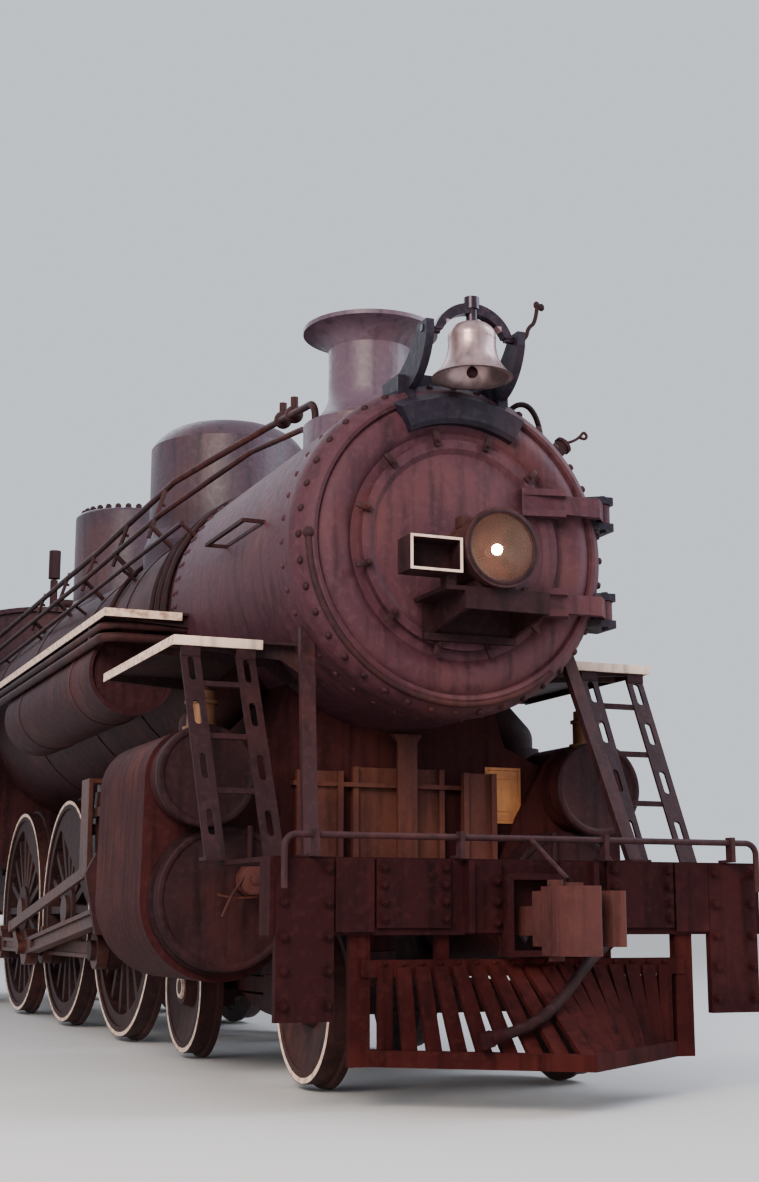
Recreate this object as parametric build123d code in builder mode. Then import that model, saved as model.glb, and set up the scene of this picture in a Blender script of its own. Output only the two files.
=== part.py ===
from build123d import *
import math
import os

# Steam locomotive of the 4-6-2 type, engine only, full size, in millimetres.
# Frame: +Z up, the front faces -Y, +X is the left side as the crew sits facing forward.
# Z = 0 is the tip of the wheel flanges, and the origin is under the middle of the engine.

os.makedirs("parts", exist_ok=True)

# Stations along the engine
front_axle_y = -5600
pilot_axle_pitch = 2260
pilot_to_driver = 1690
driver_pitch = 1975
driver_to_trailing = 2700
beam_overhang = 1020
coupler_reach = 737

# Wheels
flange_height = 28
flange_width = 32
tyre_width = 140
tyre_thickness = 75
back_to_back = 1360
pilot_wheel_r = 419
driver_r = 927
trailing_wheel_r = 546
pilot_axle_r = 70
driver_axle_r = 120
trailing_axle_r = 85
spoke_count = 18
spoke_width = 62
clearance = 5
pin_play = 1

# Rods and crankpins
crank_r = 356
crankpin_r = 75
side_rod_x = 890
side_rod_thickness = 85
main_rod_x = 1018
main_rod_thickness = 105
valve_rod_x = 1150
valve_rod_thickness = 30

# Frame
frame_x = 546
frame_width = 120
frame_top_z = 1340
frame_rail = 180
frame_bottom_z = 640
front_rail_top_z = 1130
front_rail_height = 200

# Boiler
boiler_z = 2925
smokebox_r = 950
smokebox_wall = 24
smokebox_length = 2319
front_lip = 7
front_depth = 231
door_r = 600
door_overlap = 40
barrel_front_r = 930
barrel_back_r = 1010
first_course = 3000
taper_course = 1600
firebox_gap = 45
firebox_length = 2750
firebox_flare = 80
firebox_bottom_z = 1400
jacket_band = 8

# Cylinders
cylinder_x = 1072
cylinder_z = 988
cylinder_bore_r = 404
cylinder_wall = 56
cylinder_length = 1064
valve_x = 1235
valve_z = 1655
valve_r = 285
valve_nose = 215
cover_thickness = 55
head_thickness = 130

# Front end
beam_half_width = 1354
beam_top_z = 1166
beam_height = 365
beam_depth = 150
deck_length = 890
deck_thickness = 22
end_plate_width = 290
end_plate_bottom_z = 406

# Running boards
board_half_width = 1500
board_edge = 52
board_plate = 16
front_board_y = -5359
front_board_z = 2397
rear_board_z = 2830
white_edge_inner_x = 988
tank_r = 290
tank_length = 3050
tank_bore_wall = 25

# Cab
cab_overlap = 750
roof_eaves = 35
cab_length = 1950
cab_half_width = 1510
cab_floor_z = 1960
cab_eaves_z = 3950
cab_roof_rise = 480
cab_wall = 45
window_sill_z = 2940
window_height = 760
window_width = 640

# Stations and heights that follow from the sizes above
sides = (-1, 1)
first_driver_y = front_axle_y + pilot_axle_pitch + pilot_to_driver
pilot_axles_y = [front_axle_y, front_axle_y + pilot_axle_pitch]
drivers_y = [first_driver_y + n * driver_pitch for n in range(3)]
trailing_axle_y = drivers_y[2] + driver_to_trailing
trailing_pivot_y = drivers_y[2] + 800
pilot_pivot_y = front_axle_y + pilot_axle_pitch / 2
pilot_axle_z = flange_height + pilot_wheel_r
driver_axle_z = flange_height + driver_r
trailing_axle_z = flange_height + trailing_wheel_r
wheel_back_x = back_to_back / 2
wheel_face_x = wheel_back_x + tyre_width
driver_tip_r = driver_r + flange_height
beam_front_y = front_axle_y - beam_overhang
coupler_face_y = beam_front_y - coupler_reach
front_ring_y = front_axle_y - 19
front_ring_r = smokebox_r + front_lip
front_plate_y = front_ring_y - front_depth
barrel_front_y = front_ring_y + smokebox_length
barrel_taper_y = barrel_front_y + first_course
barrel_taper_end_y = barrel_taper_y + taper_course
firebox_front_y = drivers_y[2] + driver_tip_r + firebox_gap
firebox_back_y = firebox_front_y + firebox_length
firebox_half_width = barrel_back_r + firebox_flare
cab_front_y = firebox_back_y - cab_overlap
cab_back_y = cab_front_y + cab_length
rear_end_y = cab_back_y + 107
cladding_r = cylinder_bore_r + cylinder_wall
cylinder_mid_y = pilot_pivot_y + 78
cylinder_front_y = cylinder_mid_y - cylinder_length / 2
cylinder_back_y = cylinder_mid_y + cylinder_length / 2
saddle_front_y = cylinder_front_y + 60
saddle_back_y = cylinder_back_y - 40
frame_face_x = frame_x + frame_width / 2
frame_inner_x = frame_x - frame_width / 2
frame_top_bottom_z = frame_top_z - frame_rail
front_rail_bottom_z = front_rail_top_z - front_rail_height
rear_board_y = barrel_front_y - 420
tank_x = board_half_width - tank_r - 5
tank_z = rear_board_z - board_edge - tank_r - 3
tank_front_y = rear_board_y + 420
rod_centre_x = main_rod_x + main_rod_thickness / 2

# Crank angles from +Y towards +Z: the right side leads the left by a quarter turn.
crank_angle = {-1: math.radians(-60), 1: math.radians(-150)}


def at_y(y):
    """Plane across the engine at station y; a negative extrusion goes back."""
    return Plane.XZ.offset(-y)


def at_x(x):
    """Plane along the engine at x; a positive extrusion goes towards +X."""
    return Plane.YZ.offset(x)


def x_axis(y, z):
    return Axis((0, y, z), (1, 0, 0))


def y_axis(x, z):
    return Axis((x, 0, z), (0, 1, 0))


def z_axis(x, y):
    return Axis((x, y, 0), (0, 0, 1))


def block(x0, x1, y0, y1, z0, z1, mode=Mode.ADD):
    """A box between two corners."""
    with Locations(((x0 + x1) / 2, (y0 + y1) / 2, (z0 + z1) / 2)):
        Box(abs(x1 - x0), abs(y1 - y0), abs(z1 - z0), mode=mode)


def bar_x(x0, x1, y, z, radius, mode=Mode.ADD):
    """A round bar along X."""
    with Locations(((x0 + x1) / 2, y, z)):
        Cylinder(radius, abs(x1 - x0), rotation=(0, 90, 0), mode=mode)


def bar_y(y0, y1, x, z, radius, mode=Mode.ADD):
    """A round bar along Y."""
    with Locations((x, (y0 + y1) / 2, z)):
        Cylinder(radius, abs(y1 - y0), rotation=(90, 0, 0), mode=mode)


def bar_z(z0, z1, x, y, radius, mode=Mode.ADD):
    """A round bar along Z."""
    with Locations((x, y, (z0 + z1) / 2)):
        Cylinder(radius, abs(z1 - z0), mode=mode)


def strut(start, end, radius):
    """A round bar between two points."""
    reach = Vector(*end) - Vector(*start)
    with Locations(Plane(origin=Vector(*start) + reach * 0.5, z_dir=reach)):
        Cylinder(radius, reach.length)


def flat_strut(start, end, width, thickness, x_dir=(1, 0, 0)):
    """A flat bar between two points, its width along x_dir."""
    reach = Vector(*end) - Vector(*start)
    with Locations(Plane(origin=Vector(*start) + reach * 0.5, x_dir=x_dir, z_dir=reach)):
        Box(width, thickness, reach.length)


def pipe(points, radius, bend):
    """A round pipe along the points, with bends of one radius."""
    with BuildPart() as run:
        with BuildLine():
            FilletPolyline(*points, radius=bend)
        with BuildSketch(Plane(origin=points[0], z_dir=Vector(*points[1]) - Vector(*points[0]))):
            Circle(radius)
        sweep()
    return run.part


def crankpin(axle_y, side):
    """Centre of a crankpin, as (y, z)."""
    turn = crank_angle[side]
    return axle_y + crank_r * math.cos(turn), driver_axle_z + crank_r * math.sin(turn)


def tyre_profile(side, tread_r, axle_z, axle_y):
    """Section of a flanged tyre, in the plane x-z through the axle, above the axle."""
    inner = tread_r - tyre_thickness
    x0 = side * wheel_back_x
    x1 = side * (wheel_back_x + flange_width)
    x2 = side * wheel_face_x
    with BuildSketch(at_y(axle_y)) as section:
        with BuildLine():
            Polyline(
                (x0, axle_z + inner),
                (x0, axle_z + tread_r + flange_height),
                (x1, axle_z + tread_r + flange_height - 6),
                (x1 + side * 8, axle_z + tread_r),
                (x2, axle_z + tread_r - 4),
                (x2, axle_z + inner),
                close=True,
            )
        make_face()
    return section.sketch


def small_wheelset(tread_r, axle_y, axle_r, journal_x):
    """Two disc wheels with their tyres pressed on one axle."""
    axle_z = flange_height + tread_r
    rim = tread_r - tyre_thickness
    hub_r = axle_r + 40
    with BuildPart() as wheelset:
        for side in sides:
            add(tyre_profile(side, tread_r, axle_z, axle_y))
        revolve(axis=x_axis(axle_y, axle_z))
        for side in sides:
            with BuildSketch(at_y(axle_y)):
                with BuildLine():
                    Polyline(
                        (side * (wheel_back_x - 40), axle_z),
                        (side * (wheel_back_x - 40), axle_z + hub_r + 15),
                        (side * (wheel_back_x + 45), axle_z + hub_r + 35),
                        (side * (wheel_back_x + 20), axle_z + rim - 45),
                        (side * (wheel_back_x + 5), axle_z + rim),
                        (side * (wheel_face_x - 5), axle_z + rim),
                        (side * (wheel_face_x - 20), axle_z + rim - 40),
                        (side * (wheel_back_x + 80), axle_z + hub_r + 20),
                        (side * (wheel_face_x + 10), axle_z + hub_r),
                        (side * (wheel_face_x + 10), axle_z),
                        close=True,
                    )
                make_face()
            revolve(axis=x_axis(axle_y, axle_z))
        bar_x(-journal_x, journal_x, axle_y, axle_z, axle_r)
    return wheelset


def driver_wheels(axle_y, weight_half_angle):
    """Two tyred, spoked wheels with crankpins and counterweights, bored for their axle."""
    axle_z = driver_axle_z
    rim = driver_r - tyre_thickness
    rim_depth = 85
    weight_reach = rim - rim_depth / 2
    hub_r = driver_axle_r + 110
    spoke_length = rim - rim_depth / 2 - driver_axle_r
    with BuildPart() as wheelset:
        for side in sides:
            add(tyre_profile(side, driver_r, axle_z, axle_y))
        revolve(axis=x_axis(axle_y, axle_z))
        for side in sides:
            back = side * (wheel_back_x + 15)
            face = side * (wheel_face_x - 15)
            start = min(back, face)
            depth = abs(face - back)
            pin_y, pin_z = crankpin(axle_y, side)
            with BuildSketch(at_x(start)):
                with Locations((axle_y, axle_z)):
                    Circle(rim)
                    Circle(rim - rim_depth, mode=Mode.SUBTRACT)
                with BuildLine():
                    first = math.degrees(crank_angle[side]) + 180 - weight_half_angle
                    arc = CenterArc((axle_y, axle_z), weight_reach, first, 2 * weight_half_angle)
                    Line(arc @ 1, arc @ 0)
                make_face()
                with Locations((axle_y, axle_z)):
                    Circle(hub_r)
            extrude(amount=depth)
            with BuildSketch(at_x(start + 25)):
                for n in range(spoke_count):
                    turn = 2 * math.pi * n / spoke_count
                    middle = driver_axle_r + spoke_length / 2
                    spot = (axle_y + middle * math.cos(turn), axle_z + middle * math.sin(turn), 0)
                    with Locations(Location(spot, (0, 0, math.degrees(turn)))):
                        Rectangle(spoke_length, spoke_width)
            extrude(amount=depth - 50)
            bar_x(back, side * (side_rod_x - clearance - 3), pin_y, pin_z, crankpin_r + 65)
            bar_x(side * wheel_face_x, side * (main_rod_x - clearance), pin_y, pin_z, crankpin_r)
        bar_x(-main_rod_x, main_rod_x, axle_y, axle_z, driver_axle_r, mode=Mode.SUBTRACT)
    return wheelset


pieces = {}

# Wheels and axles: the middle drivers carry the main rods and the widest counterweights.
for number, axle_y in enumerate(pilot_axles_y, 1):
    pieces[f"pilot_wheelset_{number}"] = small_wheelset(
        pilot_wheel_r, axle_y, pilot_axle_r, wheel_face_x + 22)
for number, axle_y in enumerate(drivers_y, 1):
    pieces[f"driver_wheels_{number}"] = driver_wheels(axle_y, 58 if number == 2 else 40)
    with BuildPart() as driver_axle:
        bar_x(-wheel_face_x - 12, wheel_face_x + 12, axle_y, driver_axle_z, driver_axle_r)
    pieces[f"driver_axle_{number}"] = driver_axle
trailing_journal_x = 1080
pieces["trailing_wheelset"] = small_wheelset(
    trailing_wheel_r, trailing_axle_y, trailing_axle_r, trailing_journal_x)

# Side rods couple the three crankpins on each side: fluted bars with round eyes and oil cups.
rod_height = 120
eye_r = crankpin_r + 62
for side in sides:
    rod_y = [crankpin(y, side)[0] for y in drivers_y]
    rod_z = crankpin(0, side)[1]
    inner_x = side_rod_x * side if side > 0 else -side_rod_x - side_rod_thickness
    outer_face = side * (side_rod_x + side_rod_thickness)
    with BuildPart() as side_rod:
        with BuildSketch(at_x(inner_x)):
            with Locations(((rod_y[0] + rod_y[2]) / 2, rod_z)):
                Rectangle(2 * driver_pitch, rod_height)
            with Locations(*[(y, rod_z) for y in rod_y]):
                Circle(eye_r)
            with Locations(*[(y, rod_z + eye_r + 5) for y in rod_y]):
                Rectangle(60, 60)
            with Locations(*[(y, rod_z) for y in rod_y]):
                Circle(crankpin_r + pin_play, mode=Mode.SUBTRACT)
        extrude(amount=side_rod_thickness)
        for n in range(2):
            y0 = rod_y[n] + eye_r + 60
            y1 = rod_y[n + 1] - eye_r - 60
            block(outer_face - side * 22, outer_face, y0, y1, rod_z - 30, rod_z + 30, mode=Mode.SUBTRACT)
    pieces["side_rod_left" if side > 0 else "side_rod_right"] = side_rod

# Main frame: two bar frames with pedestals for the driving boxes, tied by cross members.
pedestal_half = 190
jaw_width = 100
binder_height = 120
tie_bottom_z = frame_top_bottom_z - 10
pad_z = firebox_bottom_z
with BuildPart() as main_frame:
    for side in sides:
        with BuildSketch(at_x(side * frame_x - frame_width / 2)):
            with Locations(((saddle_back_y + rear_end_y - 200) / 2, frame_top_z - frame_rail / 2)):
                Rectangle(rear_end_y - 200 - saddle_back_y, frame_rail)
            with Locations(((drivers_y[0] + drivers_y[2]) / 2, frame_bottom_z + binder_height / 2)):
                Rectangle(2 * driver_pitch + 2 * pedestal_half + 2 * jaw_width, binder_height)
            for y in drivers_y:
                with Locations((y, (frame_top_z + frame_bottom_z) / 2)):
                    Rectangle(2 * pedestal_half + 2 * jaw_width, frame_top_z - frame_bottom_z)
                with Locations((y, driver_axle_z)):
                    Circle(driver_axle_r + pin_play, mode=Mode.SUBTRACT)
            with Locations(((beam_front_y + beam_depth + saddle_back_y) / 2,
                            (front_rail_top_z + front_rail_bottom_z) / 2)):
                Rectangle(saddle_back_y - beam_front_y - beam_depth, front_rail_height)
            with Locations((saddle_back_y + 100, (front_rail_bottom_z + frame_top_z) / 2)):
                Rectangle(500, frame_top_z - front_rail_bottom_z)
            for y in (firebox_front_y + 150, firebox_front_y + firebox_length / 2, firebox_back_y - 150):
                with Locations((y, (frame_top_z + pad_z) / 2)):
                    Rectangle(200, pad_z - frame_top_z)
        extrude(amount=frame_width)
pieces["main_frame"] = main_frame
with BuildPart() as frame_ties:
    for y in (drivers_y[0] - 700, (drivers_y[0] + drivers_y[1]) / 2, (drivers_y[1] + drivers_y[2]) / 2,
              trailing_axle_y + 1000):
        block(-frame_inner_x, frame_inner_x, y - 80, y + 80, tie_bottom_z, tie_bottom_z + 110)
    block(-frame_inner_x, frame_inner_x, trailing_pivot_y - 110, firebox_front_y + 60,
          tie_bottom_z, tie_bottom_z + 110)
    bar_z(trailing_axle_z - 60, tie_bottom_z + 50, 0, trailing_pivot_y, 60)
    block(-frame_inner_x, frame_inner_x, beam_front_y + beam_depth + 260, beam_front_y + beam_depth + 340,
          front_rail_bottom_z + 20, front_rail_top_z - 20)
pieces["frame_ties"] = frame_ties

# The air hose's route is hand chosen: it leaves the cock and lies over the slats to its loose end.
hose_r = 27
hose_route = [(352, -6752, 752), (250, -6815, 702), (150, -6862, 628), (44, -6905, 531),
              (-102, -6972, 436), (-225, -6995, 380), (-335, -6985, 352)]
hose_start = Vector(*hose_route[0])
hose_way = (Vector(*hose_route[1]) - hose_start).normalized()

# Pilot beam: boarded face with plates and ribs, deck behind, hanging end plates, air hose cock
boards = ((434, 830, 835), (835, 1038, 815))
striker_half = 360
striker_bottom_z = 700
beam_bottom_z = beam_top_z - beam_height
cock = hose_start - hose_way * 40
with BuildPart() as pilot_beam:
    block(-beam_half_width, beam_half_width, beam_front_y, beam_front_y + beam_depth,
          beam_bottom_z, beam_top_z)
    block(-beam_half_width, beam_half_width, beam_front_y, beam_front_y + deck_length,
          beam_top_z - deck_thickness, beam_top_z)
    for side in sides:
        for inner, outer, bottom in boards:
            block(side * inner, side * (outer - 8), beam_front_y - 20, beam_front_y, bottom, beam_top_z - 4)
        block(side * (beam_half_width - 27 - end_plate_width), side * (beam_half_width - 27),
              beam_front_y - 12, beam_front_y + 28, end_plate_bottom_z, beam_top_z - 10)
        block(side * 165, side * striker_half, beam_front_y - 32, beam_front_y, striker_bottom_z + 110,
              beam_top_z - 8)
        block(side * 130, side * 165, beam_front_y - 90, beam_front_y, striker_bottom_z, beam_top_z - 90)
        block(side * (striker_half - 30), side * striker_half, beam_front_y - 70, beam_front_y,
              striker_bottom_z + 110, beam_top_z - 8)
    block(-165, 165, beam_front_y - 90, beam_front_y + 20, striker_bottom_z - 4, striker_bottom_z + 26)
    block(-165, 165, beam_front_y - 90, beam_front_y, beam_top_z - 100, beam_top_z - 70)
    with Locations(Plane(origin=cock, z_dir=hose_way)):
        Cylinder(hose_r + 7, 80)
    bar_y(cock.Y, beam_front_y + 20, cock.X, cock.Z, 30)
    block(cock.X - 40, cock.X + 40, beam_front_y - 60, beam_front_y + 10, cock.Z, beam_bottom_z + 50)
    bar_z(cock.Z, cock.Z + 60, cock.X, cock.Y, 16)
    block(cock.X - 12, cock.X + 90, cock.Y - 12, cock.Y + 12, cock.Z + 50, cock.Z + 62)
pieces["pilot_beam"] = pilot_beam

# Slatted pilot: a pointed bottom bar, a straight top bar, end posts and a fan of slats
pilot_bottom_z = 195
pilot_bar_height = 76
pilot_top_z = 650
pilot_half_width = 893
pilot_top_half = 770
post_width = 102
pilot_corner_y = beam_front_y + 60
pilot_nose_y = beam_front_y - 630
slat_pairs = 8
slat_width = 74
slat_thickness = 26
with BuildPart() as pilot:
    with BuildSketch(Plane.XY.offset(pilot_bottom_z)):
        with BuildLine():
            Polyline(
                (-pilot_half_width, pilot_corner_y), (0, pilot_nose_y), (pilot_half_width, pilot_corner_y),
                (pilot_half_width, pilot_corner_y + 80), (0, pilot_nose_y + 90),
                (-pilot_half_width, pilot_corner_y + 80), close=True)
        make_face()
    extrude(amount=pilot_bar_height)
    block(-pilot_half_width, pilot_half_width, beam_front_y + 8, beam_front_y + 68,
          pilot_top_z - 45, pilot_top_z + 35)
    for side in sides:
        block(side * (pilot_half_width - post_width / 2), side * (pilot_half_width + post_width / 2),
              beam_front_y + 18, beam_front_y + 68, pilot_bottom_z, beam_bottom_z)
        block(side * 420, side * 480, beam_front_y + 40, beam_front_y + 100,
              pilot_top_z, beam_bottom_z)
    for n in range(-slat_pairs, slat_pairs + 1):
        share = n / slat_pairs
        foot_x = share * pilot_top_half
        foot_y = pilot_nose_y + abs(foot_x) / pilot_half_width * (pilot_corner_y - pilot_nose_y) + 45
        foot = (foot_x, foot_y, pilot_bottom_z + 40)
        flat_strut(foot, (share * pilot_top_half, beam_front_y + 14, pilot_top_z), slat_width, slat_thickness)
pieces["pilot"] = pilot

# Front coupler: shank from the beam, head with a tall knuckle on the right
coupler_z = 868
head_half_height = 158
with BuildPart() as front_coupler:
    with BuildSketch(Plane.XY.offset(coupler_z - 70)):
        with Locations((0, (beam_front_y + coupler_face_y + 330) / 2)):
            Rectangle(130, beam_front_y - coupler_face_y - 330)
    extrude(amount=140)
    with BuildSketch(Plane.XY.offset(coupler_z - head_half_height + 40)):
        with BuildLine():
            Polyline(
                (-150, coupler_face_y + 420), (-165, coupler_face_y + 230), (-60, coupler_face_y + 200),
                (40, coupler_face_y + 190), (95, coupler_face_y + 90), (150, coupler_face_y + 70),
                (185, coupler_face_y + 120), (190, coupler_face_y + 300), (100, coupler_face_y + 420),
                close=True)
        make_face()
    extrude(amount=2 * head_half_height - 60)
    with BuildSketch(Plane.XY.offset(coupler_z - head_half_height)):
        with BuildLine():
            Polyline((-165, coupler_face_y + 300), (-185, coupler_face_y + 120),
                     (-150, coupler_face_y + 14), (-110, coupler_face_y))
            Line((-110, coupler_face_y), (-20, coupler_face_y))
            ThreePointArc((-20, coupler_face_y), (10, coupler_face_y + 70), (-30, coupler_face_y + 130))
            Polyline((-30, coupler_face_y + 130), (-80, coupler_face_y + 150), (-70, coupler_face_y + 300),
                     (-165, coupler_face_y + 300))
        make_face()
    extrude(amount=2 * head_half_height)
    bar_z(coupler_z - head_half_height - 25, coupler_z + head_half_height + 30, -115, coupler_face_y + 250, 38)
    block(-60, 40, coupler_face_y + 260, coupler_face_y + 380, coupler_z + 70, coupler_z + head_half_height + 20)
pieces["front_coupler"] = front_coupler

# Uncoupling lever along the top of the beam, in four brackets
lever_x = beam_half_width - 50
lever_y = beam_front_y - 60
lever_z = beam_top_z + 100
lever_run = pipe([(-lever_x, lever_y, beam_top_z - 150), (-lever_x, lever_y, lever_z),
                  (lever_x, lever_y, lever_z), (lever_x, lever_y, beam_top_z - 150)], 16, 60)
with BuildPart() as uncoupling_lever:
    add(lever_run)
    for x in (-1150, -400, 400, 1150):
        block(x - 12, x + 12, lever_y - 28, beam_front_y + 40, beam_top_z, beam_top_z + 14)
        block(x - 12, x + 12, lever_y - 28, lever_y + 28, beam_top_z, lever_z + 28)
    strut((-20, lever_y, lever_z), (-10, coupler_face_y + 320, coupler_z + head_half_height + 34), 12)
pieces["uncoupling_lever"] = uncoupling_lever

# Air hose from the cock to its coupling, with each bend as wide as its runs allow
hose_bends = []
for n in range(1, len(hose_route) - 1):
    before = Vector(*hose_route[n]) - Vector(*hose_route[n - 1])
    after = Vector(*hose_route[n + 1]) - Vector(*hose_route[n])
    shorter = min(before.length, after.length)
    half_turn = math.radians(before.get_angle(after)) / 2
    hose_bends.append(0.45 * shorter / math.tan(half_turn))
print("air hose bend radii", [round(bend) for bend in hose_bends])
with BuildPart() as air_hose:
    with BuildLine() as hose_path:
        FilletPolyline(*hose_route, radius=hose_bends)
    print("air hose length", round(sum(edge.length for edge in hose_path.edges())))
    with BuildSketch(Plane(origin=hose_start, z_dir=hose_way)):
        Circle(hose_r)
    sweep()
pieces["air_hose"] = air_hose
hose_end = Vector(*hose_route[-1])
end_way = (hose_end - Vector(*hose_route[-2])).normalized()
with BuildPart() as hose_coupling:
    with Locations(Plane(origin=hose_end + end_way * 30, z_dir=end_way)):
        Cylinder(hose_r + 7, 60)
    with Locations(Plane(origin=hose_end + end_way * 85, z_dir=end_way)):
        Box(72, 42, 60)
pieces["hose_coupling"] = hose_coupling

# Smokebox shell, open at the front, with the hole under the chimney
chimney_y = cylinder_mid_y - 134
chimney_bore_r = 215
with BuildPart() as smokebox:
    with BuildSketch(at_y(front_ring_y)):
        with Locations((0, boiler_z)):
            Circle(smokebox_r)
            Circle(smokebox_r - smokebox_wall, mode=Mode.SUBTRACT)
    extrude(amount=-smokebox_length)
    bar_z(boiler_z, boiler_z + smokebox_r + 10, 0, chimney_y, chimney_bore_r, mode=Mode.SUBTRACT)
pieces["smokebox"] = smokebox


# Smokebox front: flanged ring, rounded shoulder, groove, and a convex ring round the door hole
shoulder_r = front_ring_r - 91
groove_r = front_ring_r - 111
bead_inner_r = door_r + 50
door_hole_r = door_r - door_overlap
front_seat_y = front_plate_y + 20


def front_outline(inner_points):
    """The outside of the smokebox front from the flange to the door seat, closed by inner points."""
    flange_y = front_ring_y - 60
    with BuildLine() as outline:
        Line((front_ring_y, boiler_z + front_ring_r), (flange_y, boiler_z + front_ring_r))
        ThreePointArc((flange_y, boiler_z + front_ring_r),
                      (front_plate_y + 70, boiler_z + front_ring_r - 27), (front_plate_y, boiler_z + shoulder_r))
        Polyline((front_plate_y, boiler_z + shoulder_r), (front_plate_y + 5, boiler_z + groove_r),
                 (front_plate_y + 28, boiler_z + groove_r - 10))
        ThreePointArc((front_plate_y + 28, boiler_z + groove_r - 10),
                      (front_plate_y - 15, boiler_z + (groove_r + bead_inner_r) / 2),
                      (front_seat_y, boiler_z + bead_inner_r))
        Polyline((front_seat_y, boiler_z + bead_inner_r), *inner_points, (front_ring_y, boiler_z + front_ring_r))
    return outline.line


with BuildPart() as front_envelope:
    with BuildSketch(Plane.YZ):
        add(front_outline([(front_seat_y, boiler_z), (front_ring_y, boiler_z)]))
        make_face()
    revolve(axis=y_axis(0, boiler_z))

# Boiler barrel: a plain course and a taper in their jacket, with bands over the seams
with BuildPart() as boiler_barrel:
    with BuildSketch(Plane.YZ):
        with BuildLine():
            Polyline(
                (barrel_front_y, boiler_z), (barrel_front_y, boiler_z + barrel_front_r),
                (barrel_taper_y, boiler_z + barrel_front_r), (barrel_taper_end_y, boiler_z + barrel_back_r),
                (firebox_front_y, boiler_z + barrel_back_r), (firebox_front_y, boiler_z), close=True)
        make_face()
    revolve(axis=y_axis(0, boiler_z))
    for y, r in ((barrel_front_y + 60, barrel_front_r), (barrel_front_y + first_course / 2, barrel_front_r),
                 (barrel_taper_y - 50, barrel_front_r), (barrel_taper_end_y + 60, barrel_back_r),
                 (firebox_front_y - 60, barrel_back_r)):
        bar_y(y - 40, y + 40, 0, boiler_z, r + jacket_band)
pieces["boiler_barrel"] = boiler_barrel

# Firebox: round top, flared sides over the trailing wheels, and the mud ring at the bottom
shoulder_drop = 500
with BuildPart() as firebox:
    with BuildSketch(at_y(firebox_front_y)):
        with BuildLine():
            ThreePointArc((-barrel_back_r, boiler_z), (0, boiler_z + barrel_back_r), (barrel_back_r, boiler_z))
            Polyline((barrel_back_r, boiler_z), (firebox_half_width, boiler_z - shoulder_drop),
                     (firebox_half_width, firebox_bottom_z), (-firebox_half_width, firebox_bottom_z),
                     (-firebox_half_width, boiler_z - shoulder_drop), (-barrel_back_r, boiler_z))
        make_face()
    extrude(amount=-firebox_length)
    block(-firebox_half_width - 22, firebox_half_width + 22, firebox_front_y, firebox_back_y,
          firebox_bottom_z, firebox_bottom_z + 110)
    fire_hinge_x = 240
    fire_hinge_y = firebox_back_y + clearance + 25
    fire_door_z = cab_floor_z + 370
    for dz in (-150, 150):
        block(fire_hinge_x - 26, fire_hinge_x + 26, firebox_back_y - 2, firebox_back_y + 50,
              fire_door_z + dz - 20, fire_door_z + dz + 20)
    bar_z(fire_door_z - 150, fire_door_z + 150, fire_hinge_x, fire_hinge_y, 10)
pieces["firebox"] = firebox

# What is bolted against the boiler is trimmed by its whole outer form.
with BuildPart() as boiler_envelope:
    add(front_envelope.part)
    bar_y(front_ring_y, barrel_front_y, 0, boiler_z, smokebox_r)
    add(boiler_barrel.part)
    add(firebox.part)

# Hinge of the smokebox door: cast lugs on the front carry a pin above and below each arm.
hinge_x = front_ring_r - 7
hinge_y = front_plate_y + 50
hinge_offsets_z = (-300, 273)
knuckle_r = 42
knuckle_height = 110
lug_thickness = 40
hinge_pin_r = 20
lug_gap = 3
with BuildPart() as smokebox_front:
    with BuildSketch(Plane.YZ):
        add(front_outline([
            (front_seat_y, boiler_z + door_hole_r), (front_seat_y + 30, boiler_z + door_hole_r),
            (front_seat_y + 40, boiler_z + groove_r + 4), (front_ring_y - 60, boiler_z + front_ring_r - 40),
            (front_ring_y, boiler_z + front_ring_r - 40)]))
        make_face()
    revolve(axis=y_axis(0, boiler_z))
pieces["smokebox_front"] = smokebox_front
with BuildPart() as hinge_brackets:
    for dz in hinge_offsets_z:
        for end in (-1, 1):
            near = boiler_z + dz + end * (knuckle_height / 2 + lug_gap)
            with BuildSketch(Plane.XY.offset(min(near, near + end * lug_thickness))):
                with BuildLine():
                    Polyline((hinge_x - 55, hinge_y - 50), (hinge_x + 40, hinge_y - 55),
                             (hinge_x + 62, hinge_y - 20), (hinge_x + 62, front_ring_y + 20),
                             (hinge_x - 180, front_ring_y + 20), (hinge_x - 180, hinge_y + 40), close=True)
                make_face()
            extrude(amount=lug_thickness)
        web_z = knuckle_height / 2 + lug_gap + lug_thickness
        block(hinge_x - 100, hinge_x + 62, hinge_y + 64, front_ring_y + 20,
              boiler_z + dz - web_z, boiler_z + dz + web_z)
        bar_z(boiler_z + dz - web_z - 14, boiler_z + dz + web_z + 14, hinge_x, hinge_y, hinge_pin_r)
    add(boiler_envelope.part, mode=Mode.SUBTRACT)
pieces["hinge_brackets"] = hinge_brackets

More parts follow.
